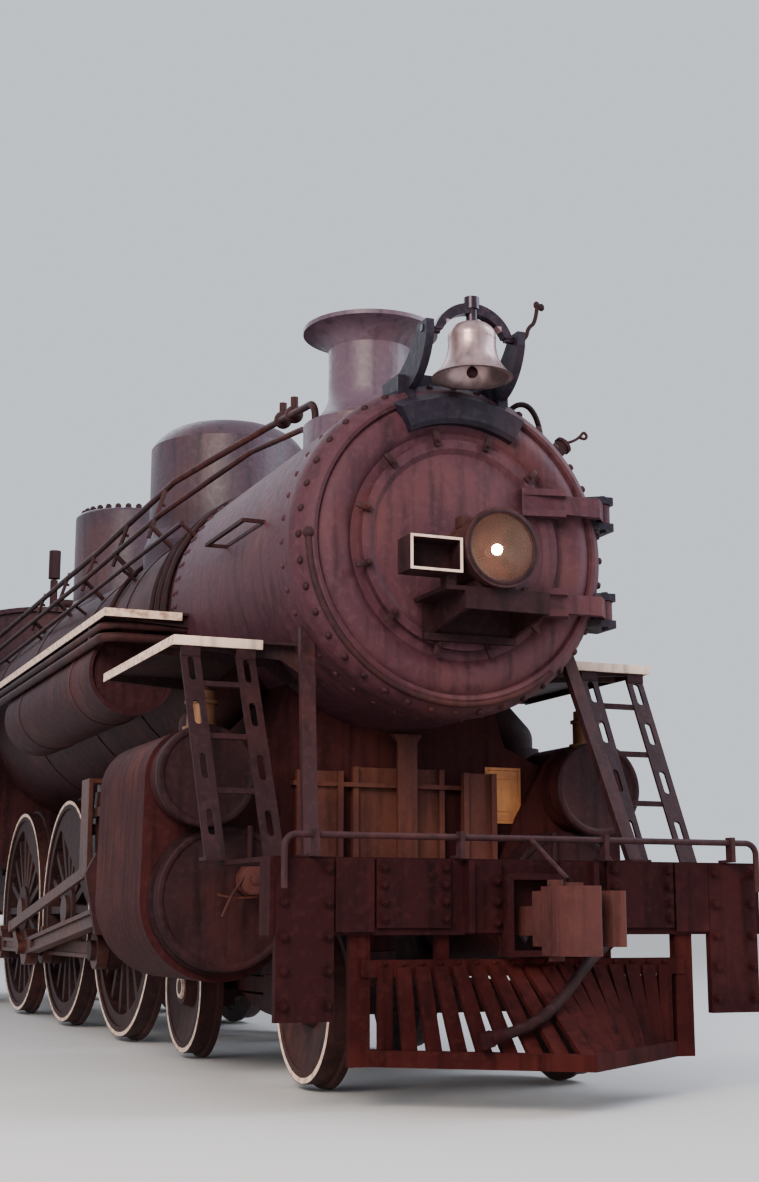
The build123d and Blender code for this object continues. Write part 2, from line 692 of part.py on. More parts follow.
# Smokebox door, dished, with a raised rim and two cast hinge arms
door_back_y = front_seat_y - clearance
door_rim = 45
door_crown = 62
arm_rib = 80
arm_exit_x = math.sqrt(door_r ** 2 - (arm_rib - min(hinge_offsets_z)) ** 2) - 10
arm_y = front_plate_y - 50
with BuildPart() as smokebox_door:
    with BuildSketch(Plane.YZ):
        with BuildLine():
            Polyline((door_back_y, boiler_z), (door_back_y, boiler_z + door_r),
                     (door_back_y - door_rim, boiler_z + door_r),
                     (door_back_y - door_rim, boiler_z + door_r - 50),
                     (door_back_y - door_rim + 20, boiler_z + door_r - 80))
            ThreePointArc((door_back_y - door_rim + 20, boiler_z + door_r - 80),
                          (door_back_y - door_crown + 10, boiler_z + door_r / 2),
                          (door_back_y - door_crown, boiler_z + 80))
            Polyline((door_back_y - door_crown, boiler_z + 80), (door_back_y - door_crown, boiler_z),
                     (door_back_y, boiler_z))
        make_face()
    revolve(axis=y_axis(0, boiler_z))
    for dz in hinge_offsets_z:
        arm_z = boiler_z + dz
        for z0, z1, thick in ((-knuckle_height / 2, knuckle_height / 2, 0), (-arm_rib, -42, 34), (42, arm_rib, 34)):
            reach_x = hinge_x if thick == 0 else door_r + 110
            with BuildSketch(Plane.XY.offset(arm_z + z0)):
                with BuildLine():
                    Polyline((arm_exit_x - 70, door_back_y - 20), (arm_exit_x - 90, arm_y - 14),
                             (reach_x - 100, arm_y - 40 - thick), (reach_x - 20, hinge_y - 42),
                             (reach_x - 20, hinge_y - 20 - 1.5 * thick), (reach_x - 60, arm_y + 12),
                             (arm_exit_x, arm_y + 12), (arm_exit_x, door_back_y - 20), close=True)
                make_face()
            extrude(amount=z1 - z0)
        bar_z(arm_z - knuckle_height / 2, arm_z + knuckle_height / 2, hinge_x, hinge_y, knuckle_r)
        bar_z(arm_z - knuckle_height, arm_z + knuckle_height, hinge_x, hinge_y, hinge_pin_r + pin_play,
              mode=Mode.SUBTRACT)
pieces["smokebox_door"] = smokebox_door

# Headlight with its reflector bowl, on a shelf in front of the door, with the number box beside it
lamp_z = 2806
lamp_y = front_plate_y - 536
lamp_r = 210
lamp_length = 350
lamp_wall = 22
bowl_depth = 160
shelf_back_y = door_back_y - door_crown + 4
shelf_z = lamp_z - lamp_r
with BuildPart() as headlight:
    with BuildSketch(Plane.YZ):
        with BuildLine():
            Polyline((lamp_y, lamp_z + lamp_r - lamp_wall), (lamp_y, lamp_z + lamp_r + 8),
                     (lamp_y + 40, lamp_z + lamp_r + 8), (lamp_y + 40, lamp_z + lamp_r),
                     (lamp_y + lamp_length - 60, lamp_z + lamp_r), (lamp_y + lamp_length, lamp_z + lamp_r - 50),
                     (lamp_y + lamp_length, lamp_z), (lamp_y + bowl_depth, lamp_z),
                     (lamp_y + bowl_depth, lamp_z + 30))
            ThreePointArc((lamp_y + bowl_depth, lamp_z + 30), (lamp_y + bowl_depth * 0.65, lamp_z + lamp_r * 0.62),
                          (lamp_y + 30, lamp_z + lamp_r - lamp_wall))
            Line((lamp_y + 30, lamp_z + lamp_r - lamp_wall), (lamp_y, lamp_z + lamp_r - lamp_wall))
        make_face()
    revolve(axis=y_axis(0, lamp_z))
    block(-120, 120, lamp_y + 90, lamp_y + lamp_length - 30, shelf_z - 2, lamp_z - lamp_r * 0.7)
    block(-170, -110, lamp_y + 150, lamp_y + 230, lamp_z + 130, lamp_z + 190)
pieces["headlight"] = headlight
number_box_x = (-528, -232)
number_box_z = (2650, 2836)
with BuildPart() as headlight_shelf:
    block(-300, 300, lamp_y + 60, shelf_back_y, shelf_z - 26, shelf_z - 2)
    block(-192, 306, lamp_y + 60, lamp_y + 84, shelf_z - 120, shelf_z - 2)
    for x in (-192, 282):
        with BuildSketch(at_x(x)):
            with BuildLine():
                Polyline((shelf_back_y, shelf_z - 20), (shelf_back_y, shelf_z - 190),
                         (lamp_y + 60, shelf_z - 120), (lamp_y + 60, shelf_z - 20), close=True)
            make_face()
        extrude(amount=24)
    block(-250, 306, shelf_back_y - 34, shelf_back_y, shelf_z - 230, shelf_z - 190)
    block(-250, 306, shelf_back_y - 12, shelf_back_y, shelf_z - 200, shelf_z - 20)
    block(-296, -240, lamp_y + 70, lamp_y + 150, shelf_z - 10, number_box_z[0] + 10)
    block(number_box_x[0], number_box_x[1], lamp_y + 10, lamp_y + 180, number_box_z[0], number_box_z[1])
    block(number_box_x[0] + 16, number_box_x[1] - 16, lamp_y + 10, lamp_y + 140,
          number_box_z[0] + 16, number_box_z[1] - 16, mode=Mode.SUBTRACT)
pieces["headlight_shelf"] = headlight_shelf

# Chimney: flat flared cap, plain barrel and a base flared onto the smokebox
chimney_top_z = 4614
cap_r = chimney_bore_r + 221
stack_r = chimney_bore_r + 55
base_r = chimney_bore_r + 215
with BuildPart() as chimney:
    with BuildSketch(at_y(chimney_y)):
        with BuildLine():
            Polyline((chimney_bore_r, boiler_z + 800), (chimney_bore_r, chimney_top_z),
                     (cap_r, chimney_top_z), (cap_r, chimney_top_z - 28))
            ThreePointArc((cap_r, chimney_top_z - 28), (stack_r + 60, chimney_top_z - 74),
                          (stack_r, chimney_top_z - 144))
            Line((stack_r, chimney_top_z - 144), (stack_r, boiler_z + smokebox_r + 315))
            ThreePointArc((stack_r, boiler_z + smokebox_r + 315), (stack_r + 50, boiler_z + smokebox_r + 165),
                          (base_r, boiler_z + smokebox_r + 85))
            Polyline((base_r, boiler_z + smokebox_r + 85), (base_r, boiler_z + 800),
                     (chimney_bore_r, boiler_z + 800))
        make_face()
    revolve(axis=z_axis(0, chimney_y))
    bar_y(chimney_y - 500, chimney_y + 500, 0, boiler_z, smokebox_r, mode=Mode.SUBTRACT)
pieces["chimney"] = chimney

def dome(y, radius, top_z, foot, flat_share, shoulder):
    """A dome seated on the barrel, with rounded shoulders and a flared foot."""
    base_z = boiler_z + barrel_front_r
    with BuildPart() as shape:
        with BuildSketch(at_y(y)):
            with BuildLine():
                Polyline((0, boiler_z + 650), (0, top_z), (radius * flat_share, top_z))
                ThreePointArc((radius * flat_share, top_z),
                              (radius * (0.3 * flat_share + 0.7), top_z - shoulder * 0.36),
                              (radius, top_z - shoulder))
                Line((radius, top_z - shoulder), (radius, base_z + 20))
                Polyline((radius, base_z + 20), (radius + foot, base_z - 90), (radius + foot, boiler_z + 650),
                         (0, boiler_z + 650))
            make_face()
        revolve(axis=z_axis(0, y))
        add(boiler_barrel.part, mode=Mode.SUBTRACT)
    return shape


dome_top_z = 4773
steam_dome_r = 540
steam_dome_y = barrel_taper_end_y + 400
with BuildPart() as domes:
    add(dome(barrel_front_y + 1830, 620, dome_top_z, 40, 0.42, 190).part)
    add(dome(steam_dome_y, steam_dome_r, dome_top_z - 30, 60, 0.93, 30).part)
pieces["domes"] = domes

# Turret with two safety valves and the whistle, ahead of the cab
turret_y = firebox_front_y + 100
turret_top_z = boiler_z + barrel_back_r + 330
with BuildPart() as turret:
    bar_z(boiler_z + 900, turret_top_z, 0, turret_y, 170)
    for x in (-80, 80):
        bar_z(turret_top_z, turret_top_z + 220, x, turret_y, 52)
    bar_x(-420, 0, turret_y, turret_top_z - 90, 45)
    bar_z(turret_top_z - 130, turret_top_z + 150, -400, turret_y, 40)
    bar_z(turret_top_z + 170, turret_top_z + 470, -400, turret_y, 62)
    bar_z(turret_top_z + 150, turret_top_z + 170, -400, turret_y, 20)
    add(boiler_envelope.part, mode=Mode.SUBTRACT)
pieces["turret"] = turret


def belt(x1, z1, r1, x2, z2, r2):
    """The four tangent points of a belt round two circles, in order."""
    lean = math.atan2(z2 - z1, x2 - x1)
    spread = math.acos((r1 - r2) / math.hypot(x2 - x1, z2 - z1))
    return [(x + r * math.cos(lean + turn), z + r * math.sin(lean + turn))
            for x, z, r, turn in ((x1, z1, r1, spread), (x2, z2, r2, spread),
                                  (x2, z2, r2, -spread), (x1, z1, r1, -spread))]


# Half-saddle castings: cylinder, valve chest and steam passage in one piece, bolted at the middle
centre_plate_z = pilot_axle_z + 245
for side in sides:
    with BuildPart() as casting:
        with BuildSketch(at_y(cylinder_front_y)):
            with Locations((side * cylinder_x, cylinder_z)):
                Circle(cladding_r)
            with Locations((side * valve_x, valve_z)):
                Circle(valve_r)
            with BuildLine():
                Polyline(*belt(side * cylinder_x, cylinder_z, cladding_r, side * valve_x, valve_z, valve_r),
                         close=True)
            make_face()
        extrude(amount=-cylinder_length)
        bar_y(cylinder_front_y - valve_nose, cylinder_front_y, side * valve_x, valve_z, valve_r - 22)
        with BuildSketch(at_y(saddle_front_y)):
            with BuildLine():
                Polyline((0, front_rail_bottom_z), (side * frame_inner_x, front_rail_bottom_z),
                         (side * frame_inner_x, front_rail_top_z), (side * 780, front_rail_top_z),
                         (side * 1000, cylinder_z + 500), (side * 1000, valve_z + 150),
                         (side * 760, valve_z + 260), (side * 640, boiler_z - 620), (side * 600, boiler_z - 500),
                         (0, boiler_z - 500), close=True)
            make_face()
        extrude(amount=-(saddle_back_y - saddle_front_y))
        bar_y(saddle_front_y - 10, saddle_back_y + 10, 0, boiler_z, smokebox_r, mode=Mode.SUBTRACT)
        add(main_frame.part, mode=Mode.SUBTRACT)
        add(frame_ties.part, mode=Mode.SUBTRACT)
        if side < 0:
            bar_z(centre_plate_z, front_rail_bottom_z, 0, pilot_pivot_y, 160)
    pieces["cylinder_casting_left" if side > 0 else "cylinder_casting_right"] = casting

# Cylinder and valve covers, front and back, with the relief valve and its pipe in front
with BuildPart() as cylinder_covers:
    for side in sides:
        x = side * cylinder_x
        bar_y(cylinder_front_y - cover_thickness, cylinder_front_y, x, cylinder_z, cylinder_bore_r + 16)
        bar_y(cylinder_front_y - head_thickness, cylinder_front_y, x, cylinder_z, cylinder_bore_r)
        bar_y(cylinder_back_y, cylinder_back_y + cover_thickness, x, cylinder_z, 340)
        bar_y(cylinder_back_y, cylinder_back_y + cover_thickness + 30, x, cylinder_z, 120)
        nose_y = cylinder_front_y - valve_nose
        bar_y(nose_y - 36, nose_y, side * valve_x, valve_z, valve_r)
        bar_y(cylinder_back_y, cylinder_back_y + cover_thickness + 15, side * valve_x, valve_z, valve_r - 35)
        relief_x = side * (cylinder_x - 112)
        relief_y = cylinder_front_y - head_thickness
        bar_y(relief_y - 105, relief_y, relief_x, cylinder_z + 100, 82)
        bar_z(cylinder_z + 150, cylinder_z + 215, relief_x, relief_y - 60, 52)
        bar_z(cylinder_z + 215, cylinder_z + 400, relief_x, relief_y - 60, 17)
    for word in ("left", "right"):
        add(pieces[f"cylinder_casting_{word}"].part, mode=Mode.SUBTRACT)
pieces["cylinder_covers"] = cylinder_covers

# Outside steam pipes from the smokebox down to the valve chests
with BuildPart() as steam_pipes:
    for side in sides:
        top = (side * 690, cylinder_mid_y - 10, boiler_z - 560)
        elbow = (side * (valve_x - 190), cylinder_mid_y - 10, valve_z + 360)
        strut(top, elbow, 135)
        with Locations(elbow):
            Sphere(135)
        bar_z(valve_z + 200, elbow[2], elbow[0], elbow[1], 135)
        bar_z(valve_z + 200, valve_z + 300, elbow[0], elbow[1], 175)
    bar_y(saddle_front_y - 10, saddle_back_y + 10, 0, boiler_z, smokebox_r, mode=Mode.SUBTRACT)
    for side in sides:
        add(pieces["cylinder_casting_left" if side > 0 else "cylinder_casting_right"].part, mode=Mode.SUBTRACT)
pieces["steam_pipes"] = steam_pipes

# Running boards: thin plates with an upstanding edge, on brackets from the boiler
ladder_rails_x = (1083, 1400)
rail_width = 110
pump_y = barrel_taper_y + 850
pump_half = 420
with BuildPart() as running_boards:
    for side in sides:
        spans = [(front_board_y, rear_board_y - 30, front_board_z, (0.03, 0.22, 0.97)),
                 (rear_board_y, cab_front_y, rear_board_z, (0.004, 0.41, 0.996))]
        for y0, y1, z, stations in spans:
            block(side * 640, side * board_half_width, y0, y1, z - board_plate, z)
            block(side * (board_half_width - 14), side * board_half_width, y0, y1, z - board_edge, z)
            block(side * white_edge_inner_x, side * board_half_width, y0, y0 + 14, z - board_edge, z)
            for share in stations:
                y = y0 + 14 + (y1 - y0 - 40) * share
                with BuildSketch(at_y(y)):
                    with BuildLine():
                        Polyline((side * 640, z - board_plate), (side * (board_half_width - 20), z - board_plate),
                                 (side * (board_half_width - 20), z - board_edge),
                                 (side * (tank_x - tank_r - 60), z - board_edge - 40),
                                 (side * 640, z - 230), close=True)
                    make_face()
                extrude(amount=-14)
    add(boiler_envelope.part, mode=Mode.SUBTRACT)
    block(barrel_back_r, board_half_width + 10, pump_y - pump_half, pump_y + pump_half,
          rear_board_z - 300, rear_board_z + 10, mode=Mode.SUBTRACT)
    add(steam_pipes.part, mode=Mode.SUBTRACT)
pieces["running_boards"] = running_boards

# Ladders from the deck to the front running boards: slotted rails and three rungs
ladder_foot_y = beam_front_y + 720
rail_thickness = 16
rung_shares = (0.32, 0.58, 0.84)
ladder_foot = Vector(0, ladder_foot_y, beam_top_z)
ladder_head = Vector(0, front_board_y + 14, front_board_z - board_edge - 30)
ladder_run = ladder_head - ladder_foot
with BuildPart() as ladders:
    for side in sides:
        for x in ladder_rails_x:
            base = Plane(origin=(side * x, ladder_foot.Y, ladder_foot.Z), x_dir=(1, 0, 0), z_dir=ladder_run)
            slotted = Plane(origin=(side * x, ladder_foot.Y, ladder_foot.Z), x_dir=ladder_run,
                            z_dir=ladder_run.cross(Vector(1, 0, 0)))
            with Locations(base * Location((0, 0, ladder_run.length / 2))):
                Box(rail_width, rail_thickness, ladder_run.length - 14)
            with BuildSketch(slotted):
                for share in (0.17, 0.43, 0.69, 0.91):
                    with Locations((ladder_run.length * share, 0)):
                        SlotOverall(150, 40)
            extrude(amount=40, both=True, mode=Mode.SUBTRACT)
        for share in rung_shares:
            spot = ladder_foot + ladder_run * share
            block(side * ladder_rails_x[0], side * ladder_rails_x[1], spot.Y - 2, spot.Y + 58,
                  spot.Z - 14, spot.Z + 14)
        for x in ladder_rails_x:
            block(side * x - rail_width / 2, side * x + rail_width / 2, ladder_foot_y - 20, ladder_foot_y + 100,
                  beam_top_z, beam_top_z + 18)
            block(side * x - rail_width / 2, side * x + rail_width / 2, front_board_y - 12, front_board_y,
                  front_board_z - 110, front_board_z - 6)
pieces["ladders"] = ladders

# Braces from the smokebox down to the deck, with bolted feet, and the cover plates between
with BuildPart() as smokebox_braces:
    for side in sides:
        foot = (side * 950, beam_front_y + 560, beam_top_z)
        head = (side * 800, front_ring_y + 60, boiler_z - 480)
        flat_strut(foot, head, 80, 44)
        block(side * 950 - 60, side * 950 + 60, foot[1] - 70, foot[1] + 70, beam_top_z, beam_top_z + 30)
    block(-beam_half_width, beam_half_width, beam_front_y, beam_front_y + deck_length,
          beam_top_z - 100, beam_top_z, mode=Mode.SUBTRACT)
    add(boiler_envelope.part, mode=Mode.SUBTRACT)
pieces["smokebox_braces"] = smokebox_braces

# Shields between the deck and the saddle: two plates and the framed cover
shield_y = saddle_front_y - 40
with BuildPart() as saddle_shields:
    for x0, x1, z1, y in ((-620, -330, 1730, shield_y), (-260, 330, 1760, shield_y + 20),
                          (420, 640, 1740, shield_y - 60)):
        block(x0, x1, y, y + 14, front_rail_top_z, z1)
        block(x0, x0 + 34, y - 30, y, front_rail_top_z, z1)
        block(x1 - 34, x1, y - 30, y, front_rail_top_z, z1)
    block(-640, 640, shield_y - 60, saddle_front_y, front_rail_top_z + 40, front_rail_top_z + 66)
    block(-640, 640, shield_y - 26, saddle_front_y, 1640, 1666)
pieces["saddle_shields"] = saddle_shields

# Bell, its yoke and the stand on the smokebox front
bell_y = front_plate_y - 185
bell_mouth_z = 3846
bell_mouth_r = 228
bell_height = 314
bell_pin_z = bell_mouth_z + 252
bell_pin_x = bell_mouth_r + 34
bell_pin_r = 22
bell_crown_z = bell_mouth_z + bell_height
with BuildPart() as bell:
    with BuildSketch(at_y(bell_y)):
        with BuildLine():
            Line((0, bell_crown_z), (70, bell_crown_z))
            ThreePointArc((70, bell_crown_z), (117, bell_crown_z - 30), (135, bell_crown_z - 100))
            ThreePointArc((135, bell_crown_z - 100), (156, bell_mouth_z + 94), (bell_mouth_r, bell_mouth_z))
            Line((bell_mouth_r, bell_mouth_z), (bell_mouth_r - 25, bell_mouth_z))
            ThreePointArc((bell_mouth_r - 25, bell_mouth_z), (132, bell_mouth_z + 99),
                          (112, bell_crown_z - 110))
            Polyline((112, bell_crown_z - 110), (90, bell_crown_z - 50), (0, bell_crown_z - 40),
                     (0, bell_crown_z))
        make_face()
    revolve(axis=z_axis(0, bell_y))
    yoke_rise = bell_crown_z - bell_pin_z + 115
    with BuildSketch(at_y(bell_y - 30)):
        with BuildLine():
            ThreePointArc((-bell_pin_x + 20, bell_pin_z), (0, bell_pin_z + yoke_rise), (bell_pin_x - 20, bell_pin_z))
            Line((bell_pin_x - 20, bell_pin_z), (bell_pin_x - 70, bell_pin_z))
            ThreePointArc((bell_pin_x - 70, bell_pin_z), (0, bell_pin_z + yoke_rise - 60),
                          (-bell_pin_x + 70, bell_pin_z))
            Line((-bell_pin_x + 70, bell_pin_z), (-bell_pin_x + 20, bell_pin_z))
        make_face()
    extrude(amount=-60)
    bar_z(bell_crown_z - 20, bell_pin_z + yoke_rise - 20, 0, bell_y, 34)
    bar_z(bell_pin_z + yoke_rise - 30, bell_pin_z + yoke_rise + 40, 0, bell_y, 44)
    for side in sides:
        bar_x(side * (bell_pin_x - 60), side * (bell_pin_x + 50), bell_y, bell_pin_z, bell_pin_r)
pieces["bell"] = bell
arm_x = bell_pin_x + 20
arm_foot_z = boiler_z + 780
with BuildPart() as bell_stand:
    for side in sides:
        with BuildSketch(at_x(side * arm_x - 24)):
            with BuildLine():
                Line((bell_y + 58, bell_pin_z + 40), (bell_y - 58, bell_pin_z + 40))
                Line((bell_y - 58, bell_pin_z + 40), (bell_y - 58, bell_pin_z - 40))
                ThreePointArc((bell_y - 58, bell_pin_z - 40), (bell_y + 10, bell_pin_z - 180),
                              (front_plate_y + 10, arm_foot_z + 100))
                Line((front_plate_y + 10, arm_foot_z + 100), (front_plate_y + 10, arm_foot_z))
                Line((front_plate_y + 10, arm_foot_z), (front_ring_y + 60, arm_foot_z))
                Line((front_ring_y + 60, arm_foot_z), (front_ring_y + 60, boiler_z + 975))
                ThreePointArc((front_ring_y + 60, boiler_z + 975), (bell_y + 190, bell_pin_z - 90),
                              (bell_y + 58, bell_pin_z + 40))
            make_face()
            with Locations((bell_y, bell_pin_z)):
                Circle(bell_pin_r + pin_play, mode=Mode.SUBTRACT)
        extrude(amount=48)
        block(side * (arm_x - 50), side * (arm_x + 64), front_plate_y + 60, front_ring_y + 60,
              arm_foot_z, boiler_z + 975)
    block(-arm_x, arm_x, front_ring_y - 62, front_ring_y + 20, arm_foot_z, boiler_z + 1030)
    add(boiler_envelope.part, mode=Mode.SUBTRACT)
pieces["bell_stand"] = bell_stand

# Curved grab rail round the smokebox front, on four stanchions, and the boiler handrails
grab_r = front_ring_r - 67
grab_y = front_plate_y + 20
grab_rod_r = 19
rail_z = boiler_z + 620
rail_x = barrel_back_r - 140
with BuildPart() as handrails:
    with BuildLine(at_y(grab_y)):
        CenterArc((0, boiler_z), grab_r, 180, 130)
    with BuildSketch(Plane(origin=(-grab_r, grab_y, boiler_z), z_dir=(0, 0, 1))):
        Circle(grab_rod_r)
    sweep()
    for degrees in (180, 225, 270, 310):
        turn = math.radians(degrees)
        spot = (grab_r * math.cos(turn), grab_y, boiler_z + grab_r * math.sin(turn))
        strut(spot, (spot[0], front_ring_y, spot[2]), 15)
    with Locations((-grab_r, grab_y, boiler_z)):
        Sphere(32)
    for side in sides:
        bar_y(barrel_front_y + 60, cab_front_y, side * rail_x, rail_z, 17)
        for n in range(6):
            y = barrel_front_y + 80 + n * (cab_front_y - barrel_front_y - 260) / 5
            strut((side * rail_x, y, rail_z), (side * rail_x * 0.8, y, boiler_z + (rail_z - boiler_z) * 0.8), 14)
    add(boiler_envelope.part, mode=Mode.SUBTRACT)
pieces["handrails"] = handrails

# Air reservoirs under the rear running boards, flat ends inside a rim, on straps
with BuildPart() as air_reservoirs:
    for side in sides:
        bar_y(tank_front_y, tank_front_y + tank_length, side * tank_x, tank_z, tank_r)
        for y, way in ((tank_front_y, 1), (tank_front_y + tank_length, -1)):
            bar_y(y, y + way * 40, side * tank_x, tank_z, tank_r - tank_bore_wall, mode=Mode.SUBTRACT)
        for share in (0.2, 0.8):
            y = tank_front_y + tank_length * share
            bar_y(y - 35, y + 35, side * tank_x, tank_z, tank_r + 5)
            block(side * (tank_x - 60), side * (tank_x + 60), y - 35, y + 35, tank_z + tank_r - 12,
                  rear_board_z - board_plate)
pieces["air_reservoirs"] = air_reservoirs

# Pipes on the right side: two cooling runs along the outside of the boards, wrapping the front
# corner, and two runs along the top of the boiler, with two valve bodies near the chimney
pipe_rows = ((board_half_width - 28, rear_board_z - 92, 26), (board_half_width - 20, rear_board_z - 168, 30))
cooling_front_y = rear_board_y + 100
cooling_runs = [pipe([(-x, cab_front_y - 60, z), (-x, cooling_front_y, z), (-x + 560, cooling_front_y, z)],
                     r, 110) for x, z, r in pipe_rows]
boiler_runs = [
    pipe([(-330, chimney_y + 126, boiler_z + 860), (-330, chimney_y + 126, 4140),
          (-300, barrel_front_y - 60, 4260), (-700, barrel_front_y + 900, 4060),
          (-760, barrel_front_y + 3000, 3960), (-760, cab_front_y, 3960)], 24, 120),
    pipe([(-330, chimney_y + 260, boiler_z + 860), (-330, chimney_y + 260, 4010),
          (-420, barrel_front_y - 60, 4070), (-800, barrel_front_y + 900, 3800),
          (-860, barrel_front_y + 3000, 3720), (-860, cab_front_y, 3720)], 20, 110),
]
with BuildPart() as boiler_pipes:
    for run in cooling_runs + boiler_runs:
        add(run)
    for y in (rear_board_y + 500, rear_board_y + 3900, cab_front_y - 400):
        block(-board_half_width + 15, -board_half_width + 45, y - 20, y + 20,
              rear_board_z - 190, rear_board_z - board_plate)
    for y, z in ((barrel_front_y - 560, 4215), (barrel_front_y - 330, 4240)):
        with Locations((-282, y, z)):
            Sphere(62)
        bar_z(z, z + 120, -282, y, 26)
    for n in range(5):
        y = barrel_front_y + 1000 + n * 1100
        bar_x(-760, -740, y, 3900, 12)
        strut((-860, y, 3640), (-740, y, 4010), 16)
        strut((-500, y, 3420), (-845, y, 3735), 20)
    add(boiler_envelope.part, mode=Mode.SUBTRACT)
    add(chimney.part, mode=Mode.SUBTRACT)
pieces["boiler_pipes"] = boiler_pipes

# Cross-compound air pump on the left of the boiler
pump_x = barrel_back_r + 230
with BuildPart() as air_pump:
    for y, r in ((pump_y - 190, 165), (pump_y + 190, 200)):
        bar_z(1960, 2340, pump_x, y, r)
        bar_z(2560, 2960, pump_x, y, r - 25)
        bar_z(2300, 2600, pump_x, y, 70)
    block(pump_x - 130, pump_x + 130, pump_y - 320, pump_y + 320, 2380, 2520)
    block(pump_x - 90, pump_x + 90, pump_y - 260, pump_y + 260, 2900, 3010)
    for y in (pump_y - 240, pump_y + 240):
        block(pump_x - 330, pump_x, y - 20, y + 20, 2410, 2490)
        block(pump_x - 330, pump_x, y - 20, y + 20, 2690, 2770)
    add(boiler_envelope.part, mode=Mode.SUBTRACT)
pieces["air_pump"] = air_pump

# Crosshead guides with the guide yoke at their back end
guide_front_y = cylinder_back_y + 60
guide_back_y = drivers_y[0] - driver_tip_r - 75
guide_gap = 165
yoke_thickness = 50
with BuildPart() as crosshead_guides:
    for side in sides:
        for dz in (-guide_gap, guide_gap):
            block(side * (rod_centre_x - 60), side * (rod_centre_x + 60), cylinder_back_y + cover_thickness,
                  guide_back_y, cylinder_z + dz - 30, cylinder_z + dz + 30)
        with BuildSketch(at_y(guide_back_y)):
            with BuildLine():
                Polyline((side * frame_face_x, frame_top_bottom_z), (side * frame_face_x, frame_top_z - 20),
                         (side * (valve_rod_x + 110), frame_top_z - 20), (side * (valve_rod_x + 180), 1180),
                         (side * (valve_rod_x + 100), 770), (side * (rod_centre_x - 90), 770),
                         (side * (rod_centre_x - 120), 1110), close=True)
            make_face()
            with Locations((side * rod_centre_x, cylinder_z)):
                Rectangle(main_rod_thickness + 40, 2 * guide_gap - 30, mode=Mode.SUBTRACT)
        extrude(amount=-yoke_thickness)
pieces["crosshead_guides"] = crosshead_guides

# Crossheads with their piston rods, and the main rods to the middle crankpins
crosshead_mid_y = (guide_front_y + guide_back_y) / 2
crosshead_length = guide_back_y - guide_front_y - 2 * crank_r - 8
main_rod_length = drivers_y[1] - crosshead_mid_y
crosshead_height = 2 * guide_gap - 60
main_rod_height = 130
crosshead_y = {}
for side in sides:
    pin_y, pin_z = crankpin(drivers_y[1], side)
    crosshead_y[side] = pin_y - math.sqrt(main_rod_length ** 2 - (pin_z - cylinder_z) ** 2)
with BuildPart() as crossheads:
    for side in sides:
        y = crosshead_y[side]
        block(side * (main_rod_x - 18), side * (main_rod_x + main_rod_thickness + 18),
              y - crosshead_length / 2, y + crosshead_length / 2,
              cylinder_z - crosshead_height / 2, cylinder_z + crosshead_height / 2)
        block(side * (main_rod_x - 3), side * (main_rod_x + main_rod_thickness + 3),
              y - crosshead_length / 2 + 60, y + crosshead_length / 2 + 60,
              cylinder_z - crosshead_height / 2 + 40, cylinder_z + crosshead_height / 2 - 40, mode=Mode.SUBTRACT)
        bar_y(cylinder_back_y + cover_thickness + 30, y - crosshead_length / 2, side * cylinder_x, cylinder_z, 50)
pieces["crossheads"] = crossheads
with BuildPart() as main_rods:
    for side in sides:
        big = Vector(0, *crankpin(drivers_y[1], side))
        little = Vector(0, crosshead_y[side], cylinder_z)
        reach = big - little
        middle = (big + little) * 0.5
        tilt = math.degrees(math.atan2(reach.Z, reach.Y))
        inner_x = main_rod_x if side > 0 else -main_rod_x - main_rod_thickness
        with BuildSketch(at_x(inner_x)):
            with Locations(Location((middle.Y, middle.Z, 0), (0, 0, tilt))):
                Rectangle(reach.length, main_rod_height)
            with Locations((big.Y, big.Z)):
                Circle(150)
            with Locations((little.Y, little.Z)):
                Circle(70)
        extrude(amount=main_rod_thickness)
        outer_face = side * (main_rod_x + main_rod_thickness)
        with BuildSketch(at_x(min(outer_face, outer_face - side * 26))):
            with Locations(Location((middle.Y, middle.Z, 0), (0, 0, tilt))):
                Rectangle(reach.length - 560, main_rod_height - 66)
        extrude(amount=26, mode=Mode.SUBTRACT)
pieces["main_rods"] = main_rods

